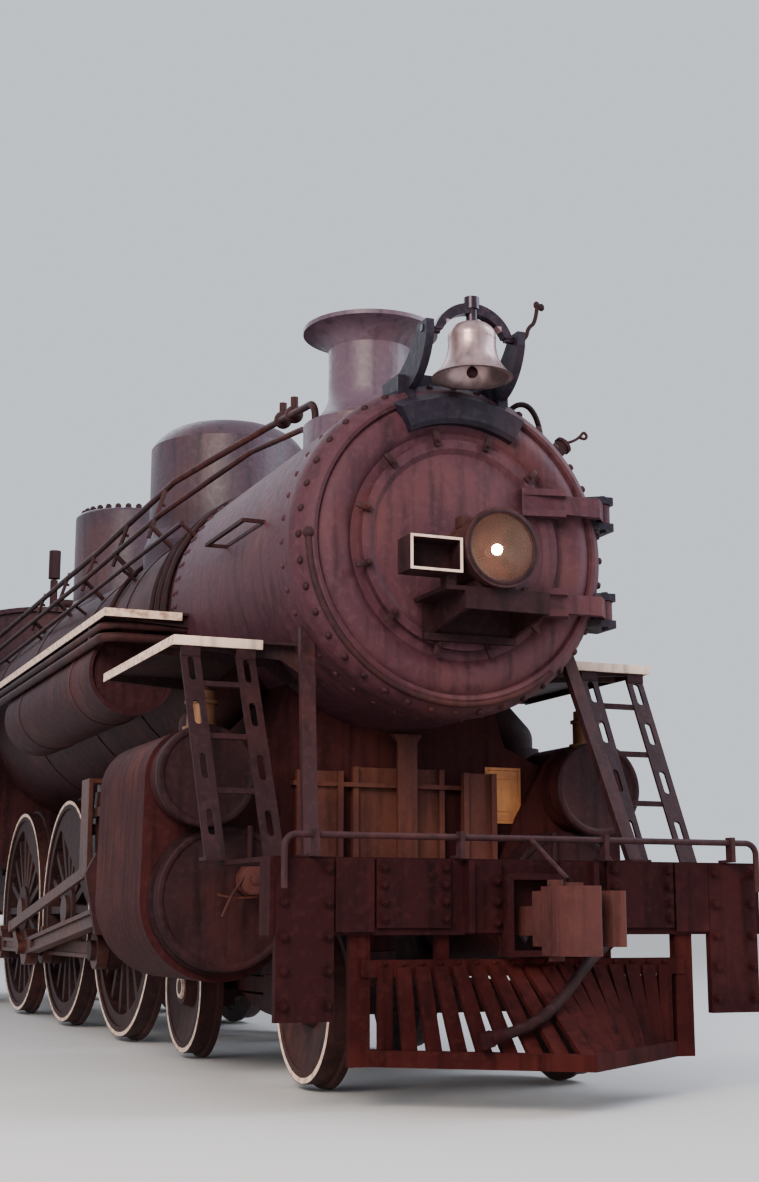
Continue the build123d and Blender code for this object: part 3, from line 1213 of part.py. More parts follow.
# Valve gear outside the main rods: link in its bracket, eccentric rod with return crank, radius rod,
# combination lever, and the bracket plate that carries the link
link_y = drivers_y[0] - 650
link_z = 1500
link_half = 260
lever_top_z = valve_z - 20
with BuildPart() as valve_gear:
    for side in sides:
        inner = side * valve_rod_x
        outer = side * (valve_rod_x + valve_rod_thickness)
        near = min(inner, outer)
        pin_y, pin_z = crankpin(drivers_y[1], side)
        with BuildSketch(at_x(near)):
            with BuildLine():
                arc = ThreePointArc((link_y - 30, link_z - link_half), (link_y + 20, link_z),
                                    (link_y - 30, link_z + link_half))
                back = ThreePointArc((link_y + 50, link_z + link_half), (link_y + 100, link_z),
                                     (link_y + 50, link_z - link_half))
                Line(arc @ 1, back @ 0)
                Line(back @ 1, arc @ 0)
            make_face()
        extrude(amount=valve_rod_thickness)
        crank_spot = Vector(0, pin_y + 210, pin_z + 170)
        bar_x(side * (main_rod_x + main_rod_thickness), outer, pin_y, pin_z, 60)
        flat_strut((side * (valve_rod_x + 10), pin_y, pin_z), (side * (valve_rod_x + 10), crank_spot.Y, crank_spot.Z),
                   40, 90)
        flat_strut((side * (valve_rod_x + 45), crank_spot.Y, crank_spot.Z),
                   (side * (valve_rod_x + 45), link_y, link_z - link_half), valve_rod_thickness, 80)
        bar_x(inner, side * (valve_rod_x + 62), crank_spot.Y, crank_spot.Z, 48)
        bar_x(inner, side * (valve_rod_x + 62), link_y, link_z - link_half, 42)
        lever_y0 = cylinder_back_y + cover_thickness + 170
        flat_strut((side * (valve_rod_x + 45), link_y + 30, link_z + 110),
                   (side * (valve_rod_x + 45), lever_y0, lever_top_z), valve_rod_thickness, 64)
        flat_strut((side * (valve_rod_x + 45), lever_y0, lever_top_z + 40),
                   (side * (valve_rod_x + 45), lever_y0 + 110, cylinder_z + guide_gap + 60), valve_rod_thickness, 76)
        bar_y(cylinder_back_y + cover_thickness + 15, lever_y0 + 30, side * valve_x, valve_z, 36)
        bar_x(side * (valve_rod_x + 30), side * (valve_x + 20), lever_y0, valve_z, 32)
        block(side * frame_face_x, side * (valve_rod_x - 2), link_y - 40, link_y + 90,
              link_z + link_half + 10, link_z + link_half + 60)
        block(side * (valve_rod_x - 40), side * (valve_rod_x - 2), link_y - 90, link_y + 140,
              link_z - 60, link_z + link_half + 60)
        block(side * (valve_rod_x + 80), side * (valve_rod_x + 110), link_y - 90, link_y + 140,
              link_z - 330, link_z + link_half + 60)
        block(side * (valve_rod_x - 40), side * (valve_rod_x + 110), link_y - 90, link_y + 140,
              link_z + link_half + 60, link_z + link_half + 90)
        bar_x(side * (valve_rod_x - 40), side * (valve_rod_x + 110), link_y + 60, link_z, 40)
        block(side * (frame_face_x - 60), side * (frame_face_x + 60), link_y - 40, link_y + 90,
              frame_top_z, link_z + link_half + 60)
        bar_x(side * (valve_rod_x - 40), side * (valve_rod_x + 110), link_y, link_z - link_half - 34, 14)
pieces["valve_gear"] = valve_gear

# Leaf springs over the driving boxes, and the brake shoes behind each driver
with BuildPart() as springs:
    for side in sides:
        for y in drivers_y:
            with BuildSketch(at_x(side * frame_x - 50)):
                with BuildLine():
                    upper = ThreePointArc((y - 420, frame_top_z + 90), (y, frame_top_z + 150),
                                          (y + 420, frame_top_z + 90))
                    lower = ThreePointArc((y + 420, frame_top_z + 60), (y, frame_top_z + 40),
                                          (y - 420, frame_top_z + 60))
                    Line(upper @ 1, lower @ 0)
                    Line(lower @ 1, upper @ 0)
                make_face()
                with Locations((y, frame_top_z + 80)):
                    Rectangle(90, 160)
                with Locations((y - 390, frame_top_z + 40), (y + 390, frame_top_z + 40)):
                    Rectangle(30, 80)
            extrude(amount=100)
pieces["springs"] = springs
shoe_gap = 8
shoe_thickness = 42
shoe_half_angle = 14
hanger_y_reach = driver_pitch / 2
hanger_z = frame_top_z - 10
with BuildPart() as brake_rigging:
    for side in sides:
        for y in drivers_y:
            inner_r = driver_r + shoe_gap
            outer_r = inner_r + shoe_thickness
            near = side * (wheel_back_x + flange_width + 14)
            far = side * (wheel_face_x - 20)
            with BuildSketch(at_x(min(near, far))):
                with BuildLine():
                    inner_arc = CenterArc((y, driver_axle_z), inner_r, -shoe_half_angle, 2 * shoe_half_angle)
                    outer_arc = CenterArc((y, driver_axle_z), outer_r, -shoe_half_angle, 2 * shoe_half_angle)
                    Line(inner_arc @ 0, outer_arc @ 0)
                    Line(inner_arc @ 1, outer_arc @ 1)
                make_face()
            extrude(amount=abs(far - near))
            flat_strut((side * (wheel_face_x - 50), y + outer_r - 14, driver_axle_z),
                       (side * (wheel_face_x - 50), y + hanger_y_reach, hanger_z), 36, 24)
            bar_x(side * (frame_face_x - 20), side * (wheel_face_x - 20), y + hanger_y_reach, hanger_z, 24)
    add(main_frame.part, mode=Mode.SUBTRACT)
pieces["brake_rigging"] = brake_rigging

# Cab: floor, front, two sides and an arched roof
with BuildPart() as cab_floor:
    block(-cab_half_width, cab_half_width, cab_front_y, cab_back_y, cab_floor_z - 60, cab_floor_z)
    add(firebox.part, mode=Mode.SUBTRACT)
pieces["cab_floor"] = cab_floor
window_z = window_sill_z + window_height / 2
with BuildPart() as cab_sides:
    for side in sides:
        with BuildSketch(at_x(side * cab_half_width - (cab_wall if side > 0 else 0))):
            with Locations(((cab_front_y + cab_back_y) / 2, (cab_floor_z + cab_eaves_z) / 2)):
                Rectangle(cab_length, cab_eaves_z - cab_floor_z)
            with Locations((cab_front_y + cab_length / 2 - window_width / 2 - 65, window_z),
                           (cab_front_y + cab_length / 2 + window_width / 2 + 65, window_z)):
                Rectangle(window_width, window_height, mode=Mode.SUBTRACT)
        extrude(amount=cab_wall)
        outer = side * cab_half_width
        block(outer, outer + side * roof_eaves, cab_front_y + 180, cab_back_y - 260,
              window_sill_z - 60, window_sill_z - 25)
pieces["cab_sides"] = cab_sides
cab_inner = cab_half_width - cab_wall
with BuildPart() as cab_front:
    with BuildSketch(at_y(cab_front_y)):
        with BuildLine():
            Polyline((-cab_inner, cab_eaves_z), (-cab_inner, cab_floor_z), (cab_inner, cab_floor_z),
                     (cab_inner, cab_eaves_z))
            ThreePointArc((cab_inner, cab_eaves_z), (0, cab_eaves_z + cab_roof_rise - 10),
                          (-cab_inner, cab_eaves_z))
        make_face()
        with Locations((-cab_inner + 195, window_z), (cab_inner - 195, window_z)):
            Rectangle(260, window_height - 120, mode=Mode.SUBTRACT)
    extrude(amount=-cab_wall)
    add(firebox.part, mode=Mode.SUBTRACT)
pieces["cab_front"] = cab_front
with BuildPart() as cab_roof:
    with BuildSketch(at_y(cab_front_y - 60)):
        with BuildLine():
            edge = cab_half_width + roof_eaves
            Line((-edge, cab_eaves_z), (-edge, cab_eaves_z + 30))
            ThreePointArc((-edge, cab_eaves_z + 30), (0, cab_eaves_z + cab_roof_rise + 40),
                          (edge, cab_eaves_z + 30))
            Polyline((edge, cab_eaves_z + 30), (edge, cab_eaves_z), (cab_inner, cab_eaves_z))
            ThreePointArc((cab_inner, cab_eaves_z), (0, cab_eaves_z + cab_roof_rise - 10),
                          (-cab_inner, cab_eaves_z))
            Line((-cab_inner, cab_eaves_z), (-edge, cab_eaves_z))
        make_face()
    extrude(amount=-(cab_length + 120))
    block(-300, 300, cab_front_y + 700, cab_front_y + 1300, cab_eaves_z + cab_roof_rise - 60,
          cab_eaves_z + cab_roof_rise + 90)
pieces["cab_roof"] = cab_roof

# Cab fittings: two seat boxes, throttle, reverse and brake levers, and the backhead pipe
with BuildPart() as cab_fittings:
    for side in sides:
        block(side * (cab_inner - 10), side * (cab_inner - 420), cab_front_y + 900, cab_front_y + 1500,
              cab_floor_z, cab_floor_z + 480)
        block(side * (cab_inner - 30), side * (cab_inner - 400), cab_front_y + 920, cab_front_y + 1480,
              cab_floor_z + 480, cab_floor_z + 560)
    bar_y(firebox_back_y, firebox_back_y + 90, -180, boiler_z + 260, 60)
    flat_strut((-180, firebox_back_y + 70, boiler_z + 240), (-520, firebox_back_y + 110, boiler_z + 60), 30, 30)
    bar_y(firebox_back_y, firebox_back_y + 60, -480, boiler_z - 150, 90)
    for x, z in ((-240, 480), (60, 480), (330, 430)):
        bar_y(firebox_back_y, firebox_back_y + 50, x, boiler_z + z, 80)
    block(-900, -860, firebox_back_y + 60, firebox_back_y + 110, cab_floor_z, cab_floor_z + 1100)
pieces["cab_fittings"] = cab_fittings

# Firebox door on the boiler's back sheet, inside the cab
with BuildPart() as fire_door:
    block(-210, fire_hinge_x, firebox_back_y + clearance, firebox_back_y + clearance + 30,
          fire_door_z - 120, fire_door_z + 120)
    bar_z(fire_door_z - 120, fire_door_z + 120, fire_hinge_x, fire_hinge_y, 26)
    bar_z(fire_door_z - 200, fire_door_z + 200, fire_hinge_x, fire_hinge_y, 10 + pin_play, mode=Mode.SUBTRACT)
    block(-190, -150, firebox_back_y + clearance + 30, firebox_back_y + clearance + 90,
          fire_door_z - 60, fire_door_z + 60)
pieces["fire_door"] = fire_door

# Ash pan: a hopper between the frame rails
pan_front_y = firebox_front_y + 250
pan_bottom_z = 800
with BuildPart() as ash_pan:
    with BuildSketch(at_y(pan_front_y)):
        with BuildLine():
            Polyline((-frame_inner_x + 6, firebox_bottom_z), (frame_inner_x - 6, firebox_bottom_z),
                     (frame_inner_x - 6, frame_top_bottom_z), (250, pan_bottom_z), (-250, pan_bottom_z),
                     (-frame_inner_x + 6, frame_top_bottom_z), close=True)
        make_face()
    extrude(amount=-(firebox_back_y - 100 - pan_front_y))
    add(main_frame.part, mode=Mode.SUBTRACT)
    add(frame_ties.part, mode=Mode.SUBTRACT)
pieces["ash_pan"] = ash_pan

# Rear casting: cross beam with the drawbar pocket and its pin hole, posts to the cab floor, and steps
drawbar_pin_r = 48
drawbar_z = 1100
pocket_half_height = 70
casting_half_height = 170
beam_half = cab_half_width - 150
with BuildPart() as rear_casting:
    block(-beam_half, beam_half, rear_end_y - 200, rear_end_y - 60, drawbar_z - 70,
          drawbar_z + casting_half_height)
    block(-260, 260, rear_end_y - 200, rear_end_y, drawbar_z - casting_half_height,
          drawbar_z + casting_half_height)
    block(-170, 170, rear_end_y - 180, rear_end_y + 1, drawbar_z - pocket_half_height,
          drawbar_z + pocket_half_height, mode=Mode.SUBTRACT)
    bar_z(drawbar_z - casting_half_height, drawbar_z + casting_half_height, 0, rear_end_y - 80,
          drawbar_pin_r, mode=Mode.SUBTRACT)
    for side in sides:
        block(side * 855, side * 945, rear_end_y - 200, rear_end_y - 110,
              drawbar_z + casting_half_height, cab_floor_z - 60)
        for z in (620, 1000):
            block(side * (beam_half - 40), side * (beam_half - 420), rear_end_y - 420, rear_end_y - 180,
                  z - 20, z)
        for x in (beam_half - 420, beam_half - 60):
            block(side * x, side * (x + 20), rear_end_y - 215, rear_end_y - 180, 600, drawbar_z - 60)
pieces["rear_casting"] = rear_casting

# Pilot truck frame, inside the wheels, with its centre bearing
truck_bar_x = frame_x - 6
with BuildPart() as pilot_truck_frame:
    for side in sides:
        with BuildSketch(at_x(side * truck_bar_x - 40)):
            with Locations((pilot_pivot_y, pilot_axle_z + 40)):
                Rectangle(pilot_axle_pitch + 300, 90)
            with Locations(*[(y, pilot_axle_z) for y in pilot_axles_y]):
                Rectangle(220, 240)
                Circle(pilot_axle_r + pin_play, mode=Mode.SUBTRACT)
            with BuildLine():
                spring = ThreePointArc((pilot_pivot_y - 620, pilot_axle_z - 20), (pilot_pivot_y, pilot_axle_z - 130),
                                       (pilot_pivot_y + 620, pilot_axle_z - 20))
                Line(spring @ 1, spring @ 0)
            make_face()
        extrude(amount=80)
    block(-truck_bar_x - 40, truck_bar_x + 40, pilot_pivot_y - 210, pilot_pivot_y + 210,
          pilot_axle_z - 20, pilot_axle_z + 100)
    bar_z(pilot_axle_z + 100, centre_plate_z - clearance, 0, pilot_pivot_y, 180)
pieces["pilot_truck_frame"] = pilot_truck_frame

# Trailing truck frame, outside the wheels, reaching forward to its pivot
truck_side_x = 1000
truck_half_length = 750
truck_beam = 110
with BuildPart() as trailing_truck_frame:
    for side in sides:
        with BuildSketch(at_x(side * truck_side_x - 50)):
            with Locations((trailing_axle_y, trailing_axle_z + 30)):
                Rectangle(2 * truck_half_length, truck_beam)
            with Locations((trailing_axle_y, trailing_axle_z)):
                Rectangle(320, 360)
                Circle(trailing_axle_r + pin_play, mode=Mode.SUBTRACT)
            with BuildLine():
                spring = ThreePointArc((trailing_axle_y - 480, trailing_axle_z + 200),
                                       (trailing_axle_y, trailing_axle_z + 320),
                                       (trailing_axle_y + 480, trailing_axle_z + 200))
                Line(spring @ 1, spring @ 0)
            make_face()
            with Locations((trailing_axle_y - 440, trailing_axle_z + 140),
                           (trailing_axle_y + 440, trailing_axle_z + 140), (trailing_axle_y, trailing_axle_z + 190)):
                Rectangle(60, 140)
        extrude(amount=100)
    for y in (trailing_axle_y - truck_half_length, trailing_axle_y + truck_half_length):
        block(-truck_side_x - 50, truck_side_x + 50, y - 50, y + 50,
              trailing_axle_z + 30 - truck_beam / 2, trailing_axle_z + 30 + truck_beam / 2)
    with BuildSketch(Plane.XY.offset(trailing_axle_z - 20)):
        with BuildLine():
            Polyline((-700, trailing_axle_y - truck_half_length), (700, trailing_axle_y - truck_half_length),
                     (120, trailing_pivot_y), (-120, trailing_pivot_y), close=True)
        make_face()
        with Locations((0, trailing_pivot_y)):
            Circle(120)
            Circle(60 + pin_play, mode=Mode.SUBTRACT)
    extrude(amount=90)
pieces["trailing_truck_frame"] = trailing_truck_frame

for name, piece in pieces.items():
    piece.part.label = name
    export_step(piece.part, f"parts/{name}.step")
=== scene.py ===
# %% [markdown]
# # Dressing a steam locomotive
# The engine itself, with every wheel, rod and plate, comes packed from CAD as a fixed frame. Here it
# gets its finishes, and the small things that a CAD solid leaves out: rivets, bolts, door dogs,
# lamp glass and air hose. Everything is in metres, the front looks along -Y, and Z is up from the
# flange tips. Loading the frame comes first, because every new piece is placed from it.

import bmesh
import bpy
import math
from mathutils import Matrix, Vector


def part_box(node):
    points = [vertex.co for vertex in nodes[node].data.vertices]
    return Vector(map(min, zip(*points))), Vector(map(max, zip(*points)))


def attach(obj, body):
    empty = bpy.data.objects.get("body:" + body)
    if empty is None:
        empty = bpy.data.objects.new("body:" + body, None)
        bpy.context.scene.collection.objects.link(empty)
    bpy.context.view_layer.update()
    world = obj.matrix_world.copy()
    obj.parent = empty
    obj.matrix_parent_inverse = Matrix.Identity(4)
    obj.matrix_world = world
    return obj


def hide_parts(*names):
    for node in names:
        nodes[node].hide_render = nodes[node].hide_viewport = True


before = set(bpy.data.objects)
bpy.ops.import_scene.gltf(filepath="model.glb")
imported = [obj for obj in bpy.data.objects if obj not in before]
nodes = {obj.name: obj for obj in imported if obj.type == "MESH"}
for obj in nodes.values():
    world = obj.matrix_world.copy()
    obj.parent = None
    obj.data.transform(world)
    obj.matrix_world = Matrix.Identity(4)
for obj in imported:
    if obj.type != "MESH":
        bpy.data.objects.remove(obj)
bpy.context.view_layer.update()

# %% [markdown]
# ## Camera
# The photograph was taken from low down, ahead of the pilot and to the right of the engine, with the
# camera tilted up about eleven degrees. The place and the lens were found by fitting known circles,
# the wheel rims and boiler rings, to the picture, so the camera is typed as real sizes.

# %% Camera
camera_place = Vector((-3.926, -14.1564, 0.8713))
camera_yaw = math.radians(22.51)
camera_pitch = math.radians(11.06)
camera_roll = 0.0009
camera_data = bpy.data.cameras.new("camera")
camera_data.lens = 51.27
camera_data.sensor_width = 36
camera = bpy.data.objects.new("camera", camera_data)
bpy.context.scene.collection.objects.link(camera)
camera.matrix_world = (
    Matrix.Translation(camera_place)
    @ Matrix.Rotation(-camera_yaw, 4, "Z")
    @ Matrix.Rotation(math.pi / 2 + camera_pitch, 4, "X")
    @ Matrix.Rotation(camera_roll, 4, "Z")
)
bpy.context.scene.camera = camera
print("camera at", tuple(camera_place))

# %% [markdown]
# ## Finishes
# An old engine in the open has no clean colour anywhere. Its paint is a dull brown black, rust comes
# through in patches, rain draws it down in streaks, and dust settles. One function lays these over
# each other: a large noise chooses between paint and rust, a noise stretched along Z darkens the
# streaks, and a fine noise lays the dust and spreads the roughness. The large and the fine noise
# together give the bump. Small helpers add the nodes, so that the recipe stays short.

# %% A weathered finish
finishes = {}
patch_scale, grain_scale, streak_scale = 1.6, 24.0, 5.0
streak_stretch = (3.0, 3.0, 0.25)
streak_shade, dust_cover, bump_height = 0.45, 0.55, 0.012
old_white = ((0.88, 0.64, 0.5), (0.42, 0.24, 0.17))


def node(tree, kind, **inputs):
    """Adds a shader node and sets its inputs by name."""
    made = tree.nodes.new(kind)
    for name, value in inputs.items():
        made.inputs[name].default_value = value
    return made


def own_place(tree):
    """The object's own coordinates, in metres from the engine's origin."""
    return tree.nodes.new("ShaderNodeTexCoord").outputs["Object"]


def noise(tree, coordinates, scale, detail=4.0, stretch=(1, 1, 1)):
    """A noise on the object's own coordinates, stretched along chosen axes."""
    mapping = node(tree, "ShaderNodeMapping")
    mapping.inputs["Scale"].default_value = stretch
    tree.links.new(coordinates, mapping.inputs["Vector"])
    made = node(tree, "ShaderNodeTexNoise", Scale=scale, Detail=detail)
    tree.links.new(mapping.outputs["Vector"], made.inputs["Vector"])
    return made.outputs["Fac"]


def ramp(tree, source, low, high, end="From"):
    """Turns a value into 0 below low and 1 above high."""
    made = node(tree, "ShaderNodeMapRange", **{f"{end} Min": low, f"{end} Max": high})
    tree.links.new(source, made.inputs["Value"])
    return made.outputs["Result"]


def spread(tree, source, low, high):
    """The other way: turns a value from 0 to 1 into one from low to high."""
    return ramp(tree, source, low, high, "To")


def blend(tree, amount, below, above):
    """Mixes two colours by an amount; each is a colour or a socket."""
    made = tree.nodes.new("ShaderNodeMix")
    made.data_type = "RGBA"
    factor, first, second = (made.inputs[n] for n in (0, 6, 7))
    tree.links.new(amount, factor)
    for value, socket in ((below, first), (above, second)):
        if isinstance(value, tuple):
            socket.default_value = (*value, 1)
        else:
            tree.links.new(value, socket)
    return made.outputs[2]


def combine(tree, first, second, operation="MULTIPLY"):
    """Two values through one math node; the second may be a number."""
    made = tree.nodes.new("ShaderNodeMath")
    made.operation = operation
    tree.links.new(first, made.inputs[0])
    if isinstance(second, (int, float)):
        made.inputs[1].default_value = second
    else:
        tree.links.new(second, made.inputs[1])
    return made.outputs[0]


def weathered(name, paint, rust, dust, rusting=0.5, roughness=0.62, metallic=0.0, bump=0.25,
              gloss=0.22, edge=None, edge_paint=old_white):
    """Paint, rust and dust. edge(tree, coordinates) may return a mask for a second paint and its wear."""
    finishes[name] = material = bpy.data.materials.new(name)
    material.use_nodes = True
    tree = material.node_tree
    shader = tree.nodes["Principled BSDF"]
    coordinates = own_place(tree)
    patches = noise(tree, coordinates, patch_scale, 8.0)
    grain = noise(tree, coordinates, grain_scale, 6.0)
    streaks = noise(tree, coordinates, streak_scale, 5.0, streak_stretch)
    rust_from = 0.62 - 0.3 * rusting
    colour = blend(tree, ramp(tree, patches, rust_from, rust_from + 0.2), paint, rust)
    darker = tuple(streak_shade * part for part in paint)
    colour = blend(tree, ramp(tree, streaks, 0.48, 0.75), colour, darker)
    colour = blend(tree, combine(tree, ramp(tree, grain, 0.5, 0.8), dust_cover), colour, dust)
    if edge:
        second_paint = blend(tree, ramp(tree, grain, 0.45, 0.7), *edge_paint)
        colour = blend(tree, edge(tree, coordinates), colour, second_paint)
    tree.links.new(colour, shader.inputs["Base Color"])
    shader.inputs["Metallic"].default_value = metallic
    shader.inputs["Specular IOR Level"].default_value = gloss
    rough = spread(tree, grain, roughness - 0.12, roughness + 0.2)
    tree.links.new(rough, shader.inputs["Roughness"])
    relief = node(tree, "ShaderNodeBump", Strength=bump, Distance=bump_height)
    tree.links.new(combine(tree, grain, patches, "ADD"), relief.inputs["Height"])
    tree.links.new(relief.outputs["Normal"], shader.inputs["Normal"])
    return material


print("one recipe, noises at", patch_scale, grain_scale, streak_scale)

# %% [markdown]
# ## Painted edges
# The edges of the running boards and the outer faces of the tyres were once painted white, and most
# of it has stayed. A mask on the object's own coordinates is enough for this: it is one where a
# coordinate, or the distance from an axle, lies within a narrow band. Painting by coordinates keeps
# the edge sharp, and it turns with the wheel, because the coordinates are the wheel's own. The bell's
# yoke is dark and its bell is bright, and one more mask parts them.

# %% Masks for the painted edges
tyre_face_x = 0.82
board_outer_x, board_middle_x, board_half_width = 1.5, 1.25, 0.262
front_board_y, rear_board_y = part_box("running_boards")[0].y, -3.72
paint_band = 0.003
yoke_z, waist_x, waist_z = 4.16, 0.17, 3.99
hard_edge = 0.001


def near(tree, value, middle, half_width):
    """1 where a value is within half_width of the middle."""
    inside = combine(tree, value, middle, "COMPARE")
    inside.node.inputs[2].default_value = half_width
    return inside


def split(tree, coordinates):
    """How far a point is from the engine's middle on either side, and its y and z."""
    parts = tree.nodes.new("ShaderNodeSeparateXYZ")
    tree.links.new(coordinates, parts.inputs[0])
    x, y, z = parts.outputs
    return combine(tree, x, 0, "ABSOLUTE"), y, z


def tyre_mask(axle_y, axle_z, rings):
    """A mask of painted rings round one axle, each a middle radius and half a width, on outer faces."""
    def mask(tree, coordinates):
        shift = tree.nodes.new("ShaderNodeVectorMath")
        shift.operation = "SUBTRACT"
        shift.inputs[1].default_value = (0, axle_y, axle_z)
        tree.links.new(coordinates, shift.inputs[0])
        outward, along, above = split(tree, shift.outputs[0])
        squares = combine(tree, combine(tree, along, 2, "POWER"), combine(tree, above, 2, "POWER"), "ADD")
        radius = combine(tree, squares, 0.5, "POWER")
        painted = near(tree, radius, *rings[0])
        for ring in rings[1:]:
            painted = combine(tree, painted, near(tree, radius, *ring), "MAXIMUM")
        face_from = tyre_face_x - 0.01
        return combine(tree, painted, ramp(tree, outward, face_from, face_from + hard_edge))
    return mask


def board_mask(tree, coordinates):
    """A mask of the outer edges of the running boards, and of their front edges."""
    outward, along, _ = split(tree, coordinates)
    outer = near(tree, outward, board_outer_x, paint_band)
    across = near(tree, outward, board_middle_x, board_half_width)
    fronts = combine(tree, near(tree, along, front_board_y, paint_band),
                     near(tree, along, rear_board_y, paint_band), "ADD")
    return combine(tree, combine(tree, fronts, across), outer, "MAXIMUM")


def yoke_mask(tree, coordinates):
    """A mask of the bell's yoke: all above the crown, and what stands wider than the bell's waist."""
    outward, _, above = split(tree, coordinates)
    wide = combine(tree, ramp(tree, outward, waist_x, waist_x + hard_edge),
                   ramp(tree, above, waist_z, waist_z + hard_edge))
    return combine(tree, ramp(tree, above, yoke_z, yoke_z + hard_edge), wide, "MAXIMUM")


print("front edges at", round(front_board_y, 3), rear_board_y)

# %% [markdown]
# ## The finishes
# Each finish has three colours, paint, rust and dust, and says how rusty, rough and glossy it is. The
# colours are dark and warm, because the engine stands in low light and its paint has turned brown.
# What faces the sky most, the chimney and the domes, is smoother and takes more gloss, and its paler,
# bluish colour is a painted reflection of the sky.

# %% Paints and metals
weathered("iron", (0.03, 0.009, 0.011), (0.062, 0.017, 0.014), (0.068, 0.026, 0.029))
weathered("smokebox_iron", (0.062, 0.019, 0.028), (0.1, 0.031, 0.033), (0.115, 0.046, 0.06),
          rusting=0.42, roughness=0.6, gloss=0.25)
weathered("black_iron", (0.023, 0.008, 0.010), (0.046, 0.013, 0.013), (0.052, 0.021, 0.024),
          rusting=0.4, roughness=0.6, gloss=0.15)
# Hinges, bell stand and bell saddle: a near black with a blue tint, painted shade with a painted reflection
# of the sky.
weathered("hinge_iron_sky_and_shade", (0.014, 0.01, 0.019), (0.03, 0.016, 0.024), (0.045, 0.03, 0.045),
          rusting=0.4, roughness=0.5)
# Beam and pilot are darker than the other paints: painted shade over the low front of the engine.
weathered("beam_paint_shaded", (0.022, 0.004, 0.005), (0.044, 0.009, 0.009), (0.046, 0.013, 0.013),
          roughness=0.7, gloss=0.1)
weathered("pilot_paint", (0.027, 0.004, 0.004), (0.058, 0.01, 0.008), (0.055, 0.015, 0.012),
          rusting=0.6, roughness=0.78, gloss=0.08)
weathered("coupler_rust", (0.055, 0.015, 0.014), (0.095, 0.028, 0.023), (0.09, 0.036, 0.032),
          rusting=0.55, roughness=0.72)
weathered("shield_boards", (0.085, 0.024, 0.019), (0.14, 0.044, 0.024), (0.12, 0.05, 0.036))
weathered("jacket", (0.038, 0.011, 0.014), (0.072, 0.021, 0.02), (0.07, 0.027, 0.029),
          rusting=0.45, roughness=0.6, gloss=0.12)
weathered("casting_iron", (0.038, 0.009, 0.010), (0.07, 0.018, 0.015), (0.064, 0.021, 0.02),
          rusting=0.45, roughness=0.68, gloss=0.1)
# Chimney and domes: the pale purple blue in their colours is a painted reflection of the sky.
weathered("chimney_iron_sky_sheen", (0.1, 0.06, 0.085), (0.13, 0.062, 0.06), (0.16, 0.1, 0.135),
          rusting=0.35, roughness=0.4, gloss=0.4)
weathered("dome_iron_sky_sheen", (0.052, 0.026, 0.04), (0.085, 0.033, 0.034), (0.1, 0.056, 0.075),
          rusting=0.35, roughness=0.42, gloss=0.4)
weathered("rods", (0.08, 0.032, 0.028), (0.11, 0.035, 0.021), (0.13, 0.062, 0.05),
          roughness=0.45, metallic=0.4)
weathered("bell_metal", (0.4, 0.27, 0.27), (0.26, 0.14, 0.11), (0.48, 0.34, 0.35), rusting=0.4,
          roughness=0.3, metallic=0.7, bump=0.06, gloss=0.5, edge=yoke_mask,
          edge_paint=((0.03, 0.02, 0.03), (0.06, 0.035, 0.045)))
weathered("lamp_paint", (0.035, 0.012, 0.014), (0.07, 0.022, 0.017), (0.085, 0.04, 0.036),
          roughness=0.48)
weathered("boards", (0.028, 0.011, 0.013), (0.05, 0.017, 0.015), (0.075, 0.036, 0.034),
          edge=board_mask)
weathered("cab_paint", (0.04, 0.015, 0.019), (0.075, 0.026, 0.023), (0.09, 0.046, 0.048),
          rusting=0.45)
weathered("white_paint", (0.85, 0.62, 0.5), (0.5, 0.27, 0.18), (0.6, 0.42, 0.32),
          rusting=0.35, roughness=0.7)
# Two copies of brass: the plate's is bright, a painted glow of warm light, and the pots' is dark, painted
# shade.
weathered("cast_brass_shaded", (0.19, 0.085, 0.035), (0.1, 0.04, 0.022), (0.2, 0.1, 0.055),
          rusting=0.45, roughness=0.45, metallic=0.5, bump=0.12, gloss=0.5)
weathered("plate_brass_lit", (0.85, 0.34, 0.11), (0.38, 0.13, 0.06), (0.7, 0.33, 0.14),
          rusting=0.45, roughness=0.42, metallic=0.4, bump=0.12, gloss=0.5)
weathered("rubber", (0.02, 0.007, 0.008), (0.034, 0.012, 0.012), (0.055, 0.024, 0.022),
          bump=0.1, gloss=0.12)
# The headlight bowl's warm orange colour is a painted glow of the lit lamp.
weathered("mirror_painted_glow", (0.34, 0.14, 0.06), (0.14, 0.045, 0.02), (0.26, 0.11, 0.05),
          roughness=0.3, metallic=0.2, bump=0.08, gloss=0.5)
print("finishes", sorted(finishes))

# %% [markdown]
# ## Finishes on the CAD nodes
# Each CAD node now gets the finish that its real piece has, from a table of finishes and nodes. The
# wheels need a material for each axle, because the white ring is measured from their own axle. The
# pilot wheels have a second ring, round the end of the axle.

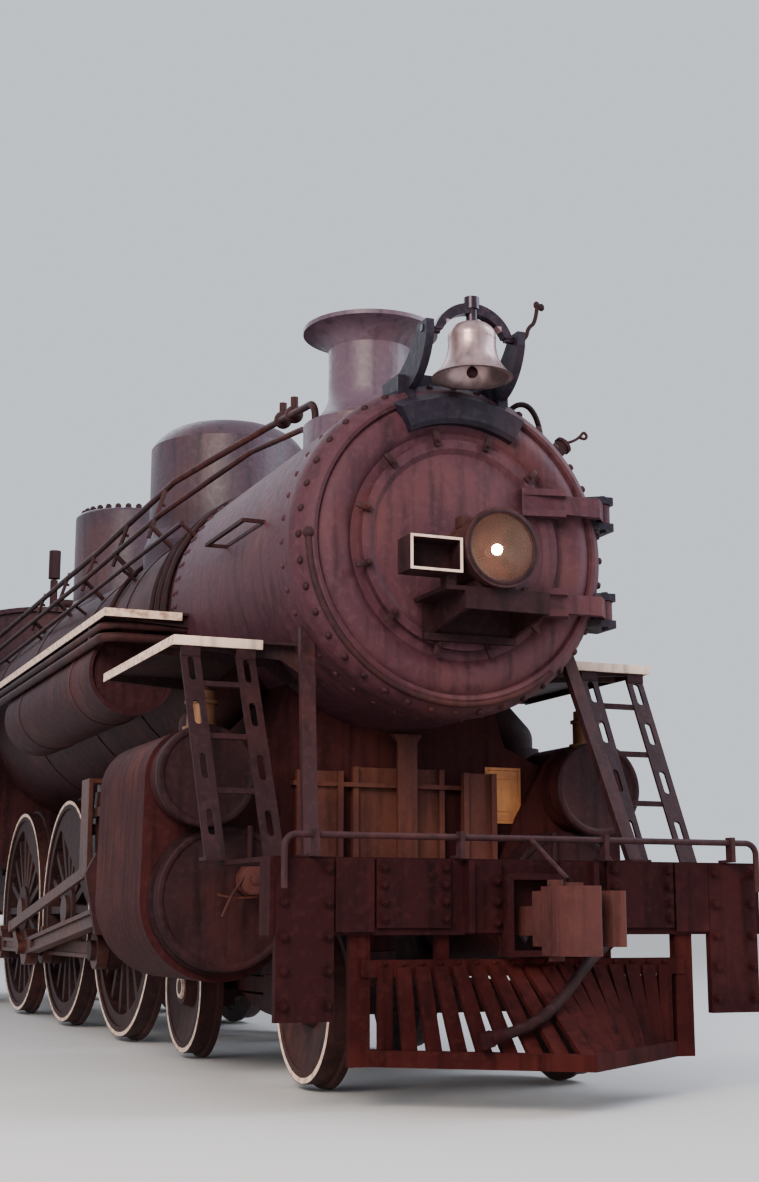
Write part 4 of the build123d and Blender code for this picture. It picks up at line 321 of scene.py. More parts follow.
# %% Finishes on the CAD nodes
finish_of = {
    "iron": ("main_frame", "smokebox_braces", "steam_pipes", "springs", "brake_rigging", "ash_pan",
             "rear_casting", "uncoupling_lever", "crosshead_guides", "air_pump", "handrails",
             "frame_ties", "boiler_pipes", "turret", "pilot_truck_frame", "trailing_truck_frame",
             "cab_fittings", "fire_door"),
    "smokebox_iron": ("smokebox", "smokebox_front", "smokebox_door"),
    "dome_iron_sky_sheen": ("domes",),
    "hinge_iron_sky_and_shade": ("hinge_brackets", "bell_stand"),
    "jacket": ("boiler_barrel", "firebox", "air_reservoirs"),
    "black_iron": ("cylinder_covers", "ladders", "headlight_shelf"),
    "casting_iron": ("cylinder_casting_left", "cylinder_casting_right"),
    "beam_paint_shaded": ("pilot_beam", "hose_coupling"),
    "coupler_rust": ("front_coupler",),
    "pilot_paint": ("pilot",),
    "shield_boards": ("saddle_shields",),
    "chimney_iron_sky_sheen": ("chimney",),
    "bell_metal": ("bell",),
    "lamp_paint": ("headlight",),
    "boards": ("running_boards",),
    "cab_paint": ("cab_floor", "cab_front", "cab_sides", "cab_roof"),
    "rods": ("main_rods", "crossheads", "side_rod_left", "side_rod_right", "valve_gear",
             "driver_axle_1", "driver_axle_2", "driver_axle_3"),
}


def paint_node(name, material):
    """Gives a CAD node a material in all its slots."""
    slots = nodes[name].data.materials
    slots.clear()
    slots.append(material)


for finish, names in finish_of.items():
    for name in names:
        paint_node(name, finishes[finish])

tread_r_of = {"pilot_wheelset_1": 0.419, "pilot_wheelset_2": 0.419, "trailing_wheelset": 0.546,
              "driver_wheels_1": 0.927, "driver_wheels_2": 0.927, "driver_wheels_3": 0.927}
white_half_width = 0.014
for name, tread_r in tread_r_of.items():
    low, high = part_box(name)
    rings = [(tread_r - 0.022, white_half_width)]
    if name.startswith("pilot"):
        rings.append((0.062, white_half_width))
    ring = tyre_mask((low.y + high.y) / 2, (low.z + high.z) / 2, rings)
    paint_node(name, weathered(name + "_paint", (0.028, 0.010, 0.010), (0.055, 0.017, 0.014),
                               (0.08, 0.036, 0.03), edge=ring))
print("nodes painted", sum(len(names) for names in finish_of.values()) + len(tread_r_of))

# %% [markdown]
# ## Air hose
# The brake hose leaves the cock under the beam and hangs over the slats of the pilot to its loose
# end. A hose is one smooth line, so it is a NURBS curve on the same points as its CAD solid, with a
# round bevel for its thickness. A chain of straight cylinders would show a kink at every joint.

# %% The air hose
hose_route = [(0.352, -6.752, 0.752), (0.250, -6.815, 0.702), (0.150, -6.862, 0.628),
              (0.044, -6.905, 0.531), (-0.102, -6.972, 0.436), (-0.225, -6.995, 0.380),
              (-0.335, -6.985, 0.352)]
hose_diameter = 0.054


def smooth_line(name, points, radius, round_steps, run_steps):
    """A NURBS curve with a round bevel and closed ends. The order is set after the points are there."""
    data = bpy.data.curves.new(name, "CURVE")
    data.dimensions = "3D"
    data.bevel_depth = radius
    data.bevel_resolution = round_steps
    data.resolution_u = run_steps
    data.use_fill_caps = True
    spline = data.splines.new("NURBS")
    spline.points.add(len(points) - 1)
    for point, place in zip(spline.points, points):
        point.co = (*place, 1)
    spline.order_u = 3
    spline.use_endpoint_u = True
    line = bpy.data.objects.new(name, data)
    bpy.context.scene.collection.objects.link(line)
    return line


air_hose = smooth_line("air_hose_rubber", hose_route, hose_diameter / 2, 5, 16)
air_hose.data.materials.append(finishes["rubber"])
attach(air_hose, "root")
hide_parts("air_hose")
print("hose through", len(hose_route), "points")

# %% [markdown]
# ## Tools for modelling by hand
# A new piece starts from a primitive and is shaped in edit mode, as it would be with the mouse. These
# helpers pick faces in code, where the mouse would click, make the few moves that come back again and
# again, and hand a finished piece to its body. An end face is found by the way it looks and by its
# middle, which lies on the piece's axis.

# %% Modelling helpers
up, forward = (0, 0, 1), (0, -1, 0)
sides = ((-1, "right"), (1, "left"))


def clear_selection():
    """Back to object mode with nothing selected."""
    if bpy.context.object and bpy.context.object.mode != "OBJECT":
        bpy.ops.object.mode_set(mode="OBJECT")
    bpy.ops.object.select_all(action="DESELECT")


def take(piece):
    """Makes a piece the active one, and the only one selected."""
    clear_selection()
    piece.select_set(True)
    bpy.context.view_layer.objects.active = piece


def select_whole():
    """In edit mode, selects the whole piece."""
    bpy.ops.mesh.select_all(action="SELECT")


def open_new():
    """Applies a new primitive's size and place, and opens it in edit mode."""
    made = bpy.context.object
    bpy.ops.object.transform_apply(location=True, rotation=True, scale=True)
    bpy.ops.object.mode_set(mode="EDIT")
    return made


def extrude(move):
    """In edit mode, extrudes what is selected by a move."""
    bpy.ops.mesh.extrude_region_move(TRANSFORM_OT_translate={"value": tuple(move)})


def pick_faces(piece, wanted):
    """In edit mode, selects the faces whose centre and normal pass the test, and nothing else."""
    bpy.ops.mesh.select_mode(type="FACE")
    bpy.ops.mesh.select_all(action="DESELECT")
    shape = bmesh.from_edit_mesh(piece.data)
    for face in shape.faces:
        if wanted(face.calc_center_median(), face.normal):
            face.select_set(True)
    bmesh.update_edit_mesh(piece.data)


def end_face(middle, way):
    """A test for the face that looks along way and lies on the line through middle."""
    middle, way = Vector(middle), Vector(way)

    def wanted(centre, normal):
        off = centre - middle
        return normal.dot(way) > 0.9 and (off - way * off.dot(way)).length < 1e-3
    return wanted


def step_in(piece, steps, way=up, middle=(0, 0, 0)):
    """Insets an end face again and again, each time moved a little along way."""
    for inset, lift in steps:
        pick_faces(piece, end_face(middle, way))
        bpy.ops.mesh.inset(thickness=inset)
        bpy.ops.transform.translate(value=tuple(Vector(way) * lift))


def draw_out(piece, steps, way=up, middle=(0, 0, 0)):
    """Extrudes an upright piece's end face step by step along way, each time scaled level."""
    for grow, lift in steps:
        pick_faces(piece, end_face(middle, way))
        extrude(Vector(way) * lift)
        bpy.ops.transform.resize(value=(grow, grow, 1))


def move_all(place):
    """In edit mode, moves the whole piece by its place."""
    select_whole()
    bpy.ops.transform.translate(value=tuple(place))


def turn_blank(vertices, radius, depth, place=(0, 0, 0), lying=False):
    """A cylinder at its size and place, left in edit mode. Lying, its axis runs along the engine."""
    clear_selection()
    tilt = math.pi / 2 if lying else 0
    bpy.ops.mesh.primitive_cylinder_add(vertices=vertices, radius=radius, depth=depth, location=place,
                                        rotation=(tilt, 0, 0))
    return open_new()


def cut_block(size, place):
    """A cube at its size and place, left in edit mode."""
    clear_selection()
    bpy.ops.mesh.primitive_cube_add(size=1, location=place)
    bpy.context.object.scale = size
    return open_new()


def ease_edges(offset):
    """In edit mode, rounds every edge of the piece a little."""
    select_whole()
    bpy.ops.mesh.bevel(offset=offset, segments=2)


def join_onto(base, others):
    """Joins pieces onto a base."""
    take(base)
    for piece in others:
        piece.select_set(True)
    bpy.ops.object.join()
    clear_selection()


def hand_over(piece, name, finish, body="root", smooth_below=40):
    """Names a finished piece, gives it its finish and lets it ride on its body."""
    take(piece)
    piece.name = name
    piece.data.name = name
    bpy.ops.object.transform_apply(location=True, rotation=True, scale=True)
    bpy.ops.object.shade_smooth_by_angle(angle=math.radians(smooth_below))
    piece.data.materials.clear()
    piece.data.materials.append(finishes[finish])
    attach(piece, body)


print("front faces", forward, "and up is", up)

# %% [markdown]
# ## Rivet and bolt
# A rivet head is a low dome: a short cylinder whose top is inset and lifted twice. A bolt is a
# hexagon on a washer with the end of its stud above it. Both have only a few faces, because
# hundreds of them are set out.

# %% Rivet and bolt seeds
def make_rivet(radius, height):
    """A short cylinder whose top is stepped up into a dome."""
    made = turn_blank(10, radius, height * 0.5, (0, 0, height * 0.2))
    step_in(made, ((radius * 0.25, height * 0.35), (radius * 0.35, height * 0.2)))
    clear_selection()
    return made


def make_bolt(radius, height):
    """A washer with a hexagon on it, and the end of the stud."""
    washer = turn_blank(12, radius * 1.35, height * 0.3)
    step_in(washer, ((radius * 0.5, 0),))
    head = turn_blank(6, radius, height * 0.7, (0, 0, height * 0.45))
    step_in(head, ((radius * 0.35, 0),))
    draw_out(head, ((1, height * 0.25),))
    join_onto(washer, [head])
    return washer


rivet = make_rivet(0.017, 0.014)
small_rivet = make_rivet(0.012, 0.009)
shoulder_rivet = make_rivet(0.021, 0.018)
bolt = make_bolt(0.02, 0.03)
big_bolt = make_bolt(0.03, 0.045)
print("rivet faces", len(rivet.data.polygons), "bolt faces", len(bolt.data.polygons))

# %% [markdown]
# ## Setting out
# A fastener is modelled once, standing at the origin with its foot at zero. Each copy is put in its
# place by a matrix that is worked into its mesh, and the copies of one row are joined, because
# hundreds of separate objects would only be harder to handle.

# %% Places for fasteners
def standing(place, outward, turn=0.0):
    """Where a fastener stands: its foot at the place and its head outward."""
    upright = Vector(outward).to_track_quat("Z", "Y").to_matrix().to_4x4()
    return Matrix.Translation(place) @ upright @ Matrix.Rotation(turn, 4, "Z")


def ring_of(count, centre, radius, lean=0.0):
    """Places round a circle across the engine, facing forward, or outward by lean (1 is fully outward)."""
    places = []
    for n in range(count):
        turn = 2 * math.pi * n / count
        away = Vector((math.cos(turn), 0, math.sin(turn)))
        outward = away * lean + Vector(forward) * (1 - lean)
        places.append(standing(Vector(centre) + away * radius, outward, turn))
    return places


def row(start, end, count, outward):
    """Places in a straight row."""
    start, end = Vector(start), Vector(end)
    return [standing(start.lerp(end, n / (count - 1)), outward) for n in range(count)]


def set_out(seed, name, places, finish, body="root"):
    """Copies a small fastener to many places and joins the copies into one piece."""
    copies = []
    for place in places:
        copy = seed.copy()
        copy.data = seed.data.copy()
        copy.data.transform(place)
        bpy.context.scene.collection.objects.link(copy)
        copies.append(copy)
    join_onto(copies[0], copies[1:])
    print(name, len(places), "copies")
    hand_over(copies[0], name, finish, body)


print("a row of 4 has", len(row((0, 0, 0), (1, 0, 0), 4, up)), "places")

# %% [markdown]
# ## Smokebox rivets
# The cast front is held to the smokebox by a ring of rivets round its rounded shoulder, and the shell
# has rows of its own where its sheets meet. The ring is worked out from the front's box, so it
# follows the CAD.

# %% Smokebox rivets
front_low, front_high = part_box("smokebox_front")
boiler_z = (front_low.z + front_high.z) / 2
ring_r = (front_high.x - front_low.x) / 2
shoulder_depth, shoulder_lean, shoulder_count = 0.231, 0.66, 40
plate_y = front_high.y - shoulder_depth
shoulder = ring_of(shoulder_count, (0, plate_y + 0.07, boiler_z), ring_r - 0.028, shoulder_lean)
set_out(shoulder_rivet, "shoulder_rivets", shoulder, "iron")
shell_low, shell_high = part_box("smokebox")
shell_r = (shell_high.x - shell_low.x) / 2
shell_rows = []
for y, count in ((shell_low.y + 0.06, 44), (shell_high.y - 0.05, 60), (shell_high.y - 0.12, 60)):
    shell_rows += ring_of(count, (0, y, boiler_z), shell_r - 0.002, lean=1.0)
set_out(rivet, "shell_rivets", shell_rows, "smokebox_iron")

# %% [markdown]
# ## Smokebox door dogs
# The door is pulled tight by clamps round its rim, each a short bar under a nut. One is modelled from
# a cube: its outer end is drawn thin, its edges are bevelled, and a bolt is joined on. Two places
# beside the hinge straps are left out, and the dogs ride on the door, so that they open with it.

# %% Door dogs
door_low, door_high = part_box("smokebox_door")
door_r = (door_high.z - door_low.z) / 2
door_rim = Vector((0, plate_y - 0.03, boiler_z))
dog_size, dog_z = (0.036, 0.075, 0.022), 0.014
dog = cut_block(dog_size, (0, 0, dog_z))
pick_faces(dog, lambda centre, normal: normal.y > 0.9)
extrude((0, 0.02, -0.004))
bpy.ops.transform.resize(value=(0.6, 1, 0.6))
ease_edges(0.004)
dog_bolt = make_bolt(0.013, 0.022)
dog_bolt.data.transform(Matrix.Translation((0, -0.008, 0.024)))
join_onto(dog, [dog_bolt])
dog_count, hinge_side = 12, 0.8
dog_places = []
for n in range(dog_count):
    turn = 2 * math.pi * (n + 0.5) / dog_count
    away = Vector((math.cos(turn), 0, math.sin(turn)))
    if away.x > hinge_side:
        continue
    facing = Matrix((away.cross(Vector(forward)), away, Vector(forward))).transposed().to_4x4()
    dog_places.append(Matrix.Translation(door_rim + away * (door_r + 0.005)) @ facing)
set_out(dog, "door_dogs", dog_places, "iron", "smokebox_door")

# %% [markdown]
# ## Headlight: glass and glow
# The headlight is lit, so its inside shows: a dull bowl behind a pane of glass, with a glowing bulb. The
# bowl's warm orange colour is a painted glow of the lit lamp. The pane is nearly clear. A low alpha does
# that, and its own colour is almost black, because a pale one would veil the bowl. Its dust is a fine noise
# on the roughness. The bulb glows by emission, and its warmth wavers a little over the glass.

# %% Glass and glow
glass_alpha, bulb_strength = 0.08, 40


def plain_shader(name):
    """A new finish of one plain shader, returned with its node tree."""
    finishes[name] = material = bpy.data.materials.new(name)
    material.use_nodes = True
    return material.node_tree, material.node_tree.nodes["Principled BSDF"]


tree, shader = plain_shader("lamp_glass")
shader.inputs["Base Color"].default_value = (0.05, 0.035, 0.025, 1)
shader.inputs["Alpha"].default_value = glass_alpha
dust_film = spread(tree, noise(tree, own_place(tree), 30.0, 6.0), 0.0, 0.16)
tree.links.new(dust_film, shader.inputs["Roughness"])
tree, shader = plain_shader("bulb_glow")
shader.inputs["Base Color"].default_value = (1, 0.85, 0.6, 1)
shader.inputs["Emission Strength"].default_value = bulb_strength
wavering = ramp(tree, noise(tree, own_place(tree), 40.0), 0.3, 0.7)
warmth = blend(tree, wavering, (1.0, 0.7, 0.4), (1.0, 0.86, 0.6))
tree.links.new(warmth, shader.inputs["Emission Color"])
print("glass alpha", glass_alpha, "bulb strength", bulb_strength)

# %% [markdown]
# ## Headlight: bowl, pane, rim and bulb
# The bowl is half a sphere, cut by a bisect, flattened, and given a wall by Solidify. The glass is a
# disc whose middle is lifted ring by ring, and the rim is a torus made a little flatter. The bulb is a
# ball whose foot is drawn out into a neck. A lathe profile would do for all of them, but each is only
# two or three moves away from a primitive. They ride on the door, because the headlight does.

# %% Bowl
lamp_low, lamp_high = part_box("headlight")
lamp_r = (lamp_high.x - lamp_low.x) / 2
lamp_x = (lamp_low.x + lamp_high.x) / 2
lamp_z = (lamp_low.z + lamp_high.z) / 2
lamp_y = lamp_low.y
bowl_r, bowl_flatness, bowl_wall = lamp_r - 0.036, 0.62, 0.004
facing_front = (math.pi / 2, 0, 0)
clear_selection()
bpy.ops.mesh.primitive_uv_sphere_add(segments=48, ring_count=24, radius=bowl_r, rotation=facing_front)
bowl = open_new()
select_whole()
bpy.ops.mesh.bisect(plane_co=(0, 0.02, 0), plane_no=(0, 1, 0), clear_inner=True)
select_whole()
bpy.ops.transform.resize(value=(1, bowl_flatness, 1))
move_all((lamp_x, lamp_y + 0.022, lamp_z))
take(bowl)
wall = bowl.modifiers.new("wall", "SOLIDIFY")
wall.thickness = bowl_wall
wall.offset = -1
bpy.ops.object.modifier_apply(modifier="wall")
hand_over(bowl, "lamp_reflector", "mirror_painted_glow", "smokebox_door", 60)
print("headlight radius", round(lamp_r, 3))

# %% Pane, rim and bulb
pane_r, pane_depth = bowl_r + bowl_wall, 0.004
pane_steps = ((0.03, 0.006), (0.04, 0.004), (0.045, 0.002))
pane = turn_blank(48, pane_r, pane_depth, lying=True)
step_in(pane, pane_steps, forward)
move_all((lamp_x, lamp_y + 0.012, lamp_z))
hand_over(pane, "lamp_pane", "lamp_glass", "smokebox_door", 60)

clear_selection()
bpy.ops.mesh.primitive_torus_add(major_radius=bowl_r + 0.014, minor_radius=0.013, major_segments=56,
                                 minor_segments=8, rotation=facing_front)
rim = open_new()
select_whole()
bpy.ops.transform.resize(value=(1, 0.7, 1))
move_all((lamp_x, lamp_y + 0.004, lamp_z))
hand_over(rim, "lamp_rim", "black_iron", "smokebox_door", 60)

bulb_r, neck_from, neck_length = 0.03, -0.02, 0.02
clear_selection()
bpy.ops.mesh.primitive_uv_sphere_add(segments=20, ring_count=12, radius=bulb_r)
bulb = open_new()
pick_faces(bulb, lambda centre, normal: centre.z < neck_from)
extrude((0, 0, -neck_length))
bpy.ops.transform.resize(value=(0.6, 0.6, 1))
select_whole()
bpy.ops.transform.rotate(value=math.pi / 2, orient_axis="X", center_override=(0, 0, 0))
move_all((lamp_x, lamp_y + 0.07, lamp_z))
hand_over(bulb, "lamp_bulb", "bulb_glow", "smokebox_door", 60)
print("pane", round(pane_r, 3), "bulb", bulb_r)

# %% [markdown]
# ## Number box
# The dark box beside the lamp has a thin white line round its front, where its glass was held. It is a
# flat frame: a plane inset once, its middle deleted, and the rest extruded by a few millimetres. It
# stays bare of numbers. The same frame, in other sizes, serves for the side steps and the cab windows.

# %% Number box line
box_left, box_right = -0.528, -0.232
box_bottom, box_top = 2.65, 2.836
box_middle = ((box_left + box_right) / 2, lamp_y + 0.01, (box_bottom + box_top) / 2)


def make_frame(width, height, bar, thickness):
    """A flat frame in the XY plane, width along X and height along Y, centred, with its top at z = 0."""
    clear_selection()
    bpy.ops.mesh.primitive_plane_add(size=1)
    bpy.context.object.scale = (width, height, 1)
    made = open_new()
    select_whole()
    bpy.ops.mesh.inset(thickness=bar)
    bpy.ops.mesh.delete(type="FACE")
    select_whole()
    extrude((0, 0, -thickness))
    select_whole()
    bpy.ops.mesh.normals_make_consistent(inside=False)
    clear_selection()
    return made


line_width, line_depth = 0.013, 0.006
line = make_frame(box_right - box_left, box_top - box_bottom, line_width, line_depth)
line.data.transform(Matrix.Translation(box_middle) @ Matrix.Rotation(-math.pi / 2, 4, "X"))
hand_over(line, "number_box_line", "white_paint", "smokebox_door")
print("number box", round(box_right - box_left, 3), "wide")

# %% [markdown]
# ## Cylinder and valve casings
# The heads of the cylinders and valves are hidden by smooth pressed casings, dark discs with a rolled
# edge and a flat middle. Each is one cylinder primitive: its front face is inset again and again and
# moved a little in or out, as a spinner presses a sheet over a former.

# %% Pressed casings
cylinder_x, cylinder_z, head_face_y, head_r = 1.072, 0.988, -5.054, 0.404
valve_x, valve_z, nose_face_y, nose_r = 1.235, 1.655, -5.175, 0.285
casing_depth = 0.012
casing_steps = ((0.008, 0.007), (0.016, 0.002), (0.008, -0.003), (0.010, -0.009), (0.02, -0.002))


def press_casing(name, x, y, z, radius):
    """A disc with a rolled edge that lies on a head's face at y."""
    casing = turn_blank(96, radius * 0.992, casing_depth, lying=True)
    step_in(casing, casing_steps, forward)
    move_all((x, y - casing_depth / 2, z))
    hand_over(casing, name, "black_iron", "root", 30)


for side, word in sides:
    press_casing(f"cylinder_casing_{word}", side * cylinder_x, head_face_y, cylinder_z, head_r)
    press_casing(f"valve_casing_{word}", side * valve_x, nose_face_y, valve_z, nose_r)
print("casings pressed, radii", head_r, nose_r)

# %% [markdown]
# ## Dome studs
# The casing of the steam dome is gone, and the ring of studs that held it stands bare. They are the
# big bolt, upright, at even angles round the dome's top.

# %% Studs in a circle
steam_dome_y, steam_dome_top, stud_circle_r, stud_count = 1.7, 4.743, 0.47, 30
dome_studs = []
for n in range(stud_count):
    turn = 2 * math.pi * n / stud_count
    spot = (stud_circle_r * math.cos(turn), steam_dome_y + stud_circle_r * math.sin(turn), steam_dome_top)
    dome_studs.append(standing(spot, up))
set_out(big_bolt, "dome_studs", dome_studs, "iron")

# %% [markdown]
# ## Bolts and rivets in rows
# Plates on the pilot beam are through-bolted, each slat of the pilot has a rivet at its head, and the
# cab's side sheets are riveted along their edges and below the windows. Each row of a table gives a
# line of fasteners by its two ends and how many there are, and the row helper spaces them evenly.

# %% Rows of bolts
beam_y = -6.62
beam_lines = ((0.47, 0.02, 0.88, 1.12, 4), (0.79, 0.02, 0.88, 1.12, 4), (1.07, 0.012, 0.48, 1.11, 5),
              (1.29, 0.012, 0.48, 1.11, 5), (0.2, 0.032, 1.06, 0.86, 3))
beam_rows = []
for side, word in sides:
    for x, proud, start_z, end_z, count in beam_lines:
        beam_rows += row((side * x, beam_y - proud, start_z), (side * x, beam_y - proud, end_z),
                         count, forward)
set_out(bolt, "beam_bolts", beam_rows, "beam_paint_shaded")
slat_pairs, slats_half_width, slat_head_z = 8, 0.77, 0.668
slat_heads = [standing((slats_half_width * n / slat_pairs, beam_y + 0.006, slat_head_z), forward)
              for n in range(-slat_pairs, slat_pairs + 1)]
set_out(small_rivet, "slat_bolts", slat_heads, "pilot_paint")
cab_side_x = 1.51
cab_lines = (((5.34, 2.02), (5.34, 3.9), 26), ((5.42, 2.02), (7.18, 2.02), 24),
             ((7.21, 2.02), (7.21, 3.9), 26), ((5.42, 2.8), (7.12, 2.8), 24))
cab_rows = []
for side, word in sides:
    for start, end, count in cab_lines:
        cab_rows += row((side * cab_side_x, *start), (side * cab_side_x, *end), count, (side, 0, 0))
set_out(rivet, "cab_rivets", cab_rows, "cab_paint")

# %% [markdown]
# ## Bell clapper
# From the low camera the bell's mouth shows, so it has its clapper: a rod with a ball, grown from one
# cylinder by extruding and scaling its end face in steps, as clay is drawn out.

# %% Clapper
bell_low, bell_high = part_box("bell")
bell_y = (bell_low.y + bell_high.y) / 2
rod_r, rod_length, rod_z = 0.011, 0.2, 4.01
ball_steps = ((2.2, 0.012), (1.35, 0.016), (0.95, 0.018), (0.6, 0.014))
clapper = turn_blank(16, rod_r, rod_length, (0, bell_y, rod_z))
draw_out(clapper, ball_steps, (0, 0, -1), (0, bell_y, 0))
hand_over(clapper, "bell_clapper", "iron", "bell", 60)
print("clapper at y", round(bell_y, 3))

# %% [markdown]
# ## Pipes and rods
# Small pipes are bent from one length of tube. A path is laid through a few points as a smooth curve,
# as the hose was, and is turned into a mesh, so that its place is in its points. Where a path belongs
# to a fitting, its points are given by how far they lie from it.

# %% A bent pipe
def bend_pipe(name, points, radius, finish, body="root"):
    """A smooth line through the points, turned into a mesh."""
    take(smooth_line(name, points, radius, 3, 10))
    bpy.ops.object.convert(target="MESH")
    hand_over(bpy.context.object, name, finish, body, 50)


def path_from(start, offsets):
    """The points of a path, each given by how far it lies from the start."""
    return [Vector(start) + Vector(offset) for offset in offsets]


def round_barrel(turn, reach, y):
    """A point beside the boiler: an angle in degrees from the left, a distance from its axis, and y."""
    return (reach * math.cos(math.radians(turn)), y, boiler_z + reach * math.sin(math.radians(turn)))


print("the boiler's axis is at height", round(boiler_z, 3))

# %% [markdown]
# ## Sand and drain pipes
# Behind the smokebox a bundle of thin pipes comes down from the sand dome and the fittings on top, and
# one more stands further back. They hug the barrel and end at the running board. Each one is bent
# round the barrel at its own place, with a small spread in radius and height, because no fitter ever
# got two of them quite parallel.

# %% Pipe bundle behind the smokebox
barrel_r = 0.93
board_top_z = 2.83
bend_every = 12
sand_pipes = ((-3.18, 0.035, 0.021, 112), (-3.10, 0.03, 0.017, 104), (-3.01, 0.04, 0.024, 118),
              (-2.90, 0.028, 0.015, 98), (-2.80, 0.034, 0.02, 122), (-1.30, 0.03, 0.02, 128))
for n, (y, stand_off, radius, top_turn) in enumerate(sand_pipes):
    reach = barrel_r + stand_off
    points = [round_barrel(top_turn - bend_every, reach - 0.02, y + 0.25),
              round_barrel(top_turn, reach, y + 0.1)]
    points += [round_barrel(turn, reach, y) for turn in range(top_turn + bend_every, 180, bend_every)]
    points += [(-reach, y, board_top_z + 0.03)]
    bend_pipe(f"sand_pipe_{n + 1}", points, radius, "black_iron")
print("pipes", len(sand_pipes))

# %% [markdown]
# ## Side step
# A narrow step frame stands out from the smokebox side, where a fitter stands to reach the chimney. It
# is the flat frame of the number box, longer and thicker, and it lies level.

# %% Step frame on the smokebox
step_x, step_y, step_z = 0.99, -4.83, 3.13
step_width, step_length, bar_width, bar_depth = 0.15, 0.74, 0.022, 0.02
for side, word in sides:
    step = make_frame(step_width, step_length, bar_width, bar_depth)
    step.data.transform(Matrix.Translation((side * step_x, step_y, step_z)))
    hand_over(step, f"side_step_{word}", "black_iron")
print("steps at height", step_z)

# %% [markdown]
# ## Relief pots
# On each valve chest stands a squat brass pot, a valve that lets air in when the engine coasts. It is
# turned work: a cylinder whose top is extruded and scaled again and again, from the flange up to the
# nut on the cap.

# %% Pots on the valve chests
pot_y, pot_foot_z, flange_r, flange_depth = -5.04, 1.925, 0.105, 0.022
pot_steps = ((0.78, 0), (1, 0.13), (1.16, 0), (1, 0.018), (0.8, 0.006), (1, 0.05), (0.5, 0.012), (1, 0.025))
for side, word in sides:
    pot = turn_blank(40, flange_r, flange_depth, (side * valve_x, pot_y, pot_foot_z))
    draw_out(pot, pot_steps, middle=(side * valve_x, pot_y, 0))
    # The pot's dark brass is painted shade.
    hand_over(pot, f"relief_pot_{word}", "cast_brass_shaded", "root", 30)
print("pot height", round(sum(lift for grow, lift in pot_steps), 3))

# %% [markdown]
# ## Saddle post and plate
# In the middle of the saddle a rusty post runs up to the smokebox, and beside it on the left casting
# sits a brassy cover plate. The post is a cube whose top is drawn wide before its edges are bevelled.
# The plate is a flat cube. Its front is inset and stepped in and out again, so that a sunken band
# parts its border from its field.

# %% Post and plate
post_size, post_place = (0.125, 0.03, 0.77), (0.053, -4.982, 1.52)
post = cut_block(post_size, post_place)
pick_faces(post, lambda centre, normal: normal.z > 0.9)
extrude((0, 0.01, 0.05))
bpy.ops.transform.resize(value=(1.5, 1.6, 1))
ease_edges(0.004)
hand_over(post, "saddle_post", "shield_boards")
plate_size, plate_place = (0.24, 0.014, 0.34), (0.74, -4.872, 1.62)
plate_steps = ((0.016, 0), (0.004, -0.006), (0.05, 0), (0.004, 0.006))
plate = cut_block(plate_size, plate_place)
step_in(plate, plate_steps, forward, plate_place)
# The plate's bright brass is a painted glow of warm light.
hand_over(plate, "saddle_plate", "plate_brass_lit")
print("cover plate at", plate_place)

# %% [markdown]
# ## Bell lever, lamp socket and front pipe
# On the left end of the bell's yoke a curved lever stands up, and the bell cord was tied to its double
# knob. The lever rides on the bell. Lower on the smokebox's shoulder are the socket of a marker lamp,
# with its eye bolt, and a bent air pipe. The socket is turned upright at the origin, and then stands
# on the round shell along its own radius.

# %% Lever, socket and pipe
bell_pin = (0.345, bell_y, 4.098)
knob_places = ((0.068, 0, 0.236), (0.098, 0, 0.226))
lever_path = ((-0.04, 0, 0), (0, 0, 0.03), (0.01, 0, 0.09), (0.06, 0, 0.13), (0.07, 0, 0.22))
bend_pipe("bell_lever", path_from(bell_pin, lever_path), 0.012, "black_iron", "bell")
for n, place in enumerate(path_from(bell_pin, knob_places)):
    clear_selection()
    bpy.ops.mesh.primitive_uv_sphere_add(segments=14, ring_count=8, radius=0.02)
    knob = open_new()
    select_whole()
    bpy.ops.transform.resize(value=(1, 0.8, 1.15))
    move_all(place)
    hand_over(knob, f"bell_lever_knob_{n + 1}", "black_iron", "bell", 60)

socket_turn, socket_reach, socket_y, socket_height = 43, 0.94, -5.70, 0.11
socket_steps = ((0.85, 0), (1, 0.06), (1.2, 0), (1, 0.02), (0.5, 0), (1, 0.02))
socket_foot = Vector(round_barrel(socket_turn, socket_reach, socket_y))
outward = (socket_foot - Vector((0, socket_foot.y, boiler_z))).normalized()
socket = turn_blank(24, 0.055, 0.03)
draw_out(socket, socket_steps)
clear_selection()
socket.data.transform(standing(socket_foot, outward))
hand_over(socket, "marker_socket", "black_iron", smooth_below=30)
eye_path = ((0, 0, 0), (0.05, 0, 0.015), (0.1, 0, 0.05), (0.125, 0, 0.085), (0.15, 0, 0.06),
            (0.13, 0, 0.035), (0.1, 0, 0.045))
eye_foot = socket_foot + outward * socket_height
bend_pipe("marker_eye_bolt", path_from(eye_foot, eye_path), 0.009, "black_iron")
air_pipe = ((0.42, -5.50, 3.76), (0.46, -5.60, 3.86), (0.55, -5.63, 3.88), (0.62, -5.63, 3.80),
            (0.665, -5.60, 3.66), (0.72, -5.50, 3.58))
bend_pipe("front_air_pipe", air_pipe, 0.017, "black_iron")
print("lever from", tuple(round(value, 3) for value in bell_pin))

# %% [markdown]
# ## Bell saddle
# The arms of the bell stand on a cast saddle that lies over the top of the smokebox front, hollowed out so
# that the swinging bell clears it. Its near black, bluish colour is painted shade with a painted reflection
# of the sky. It is turned work: one section, drawn as a filled circle whose corners are moved to their
# places, is spun about the boiler's axis by less than a sixth of a turn.

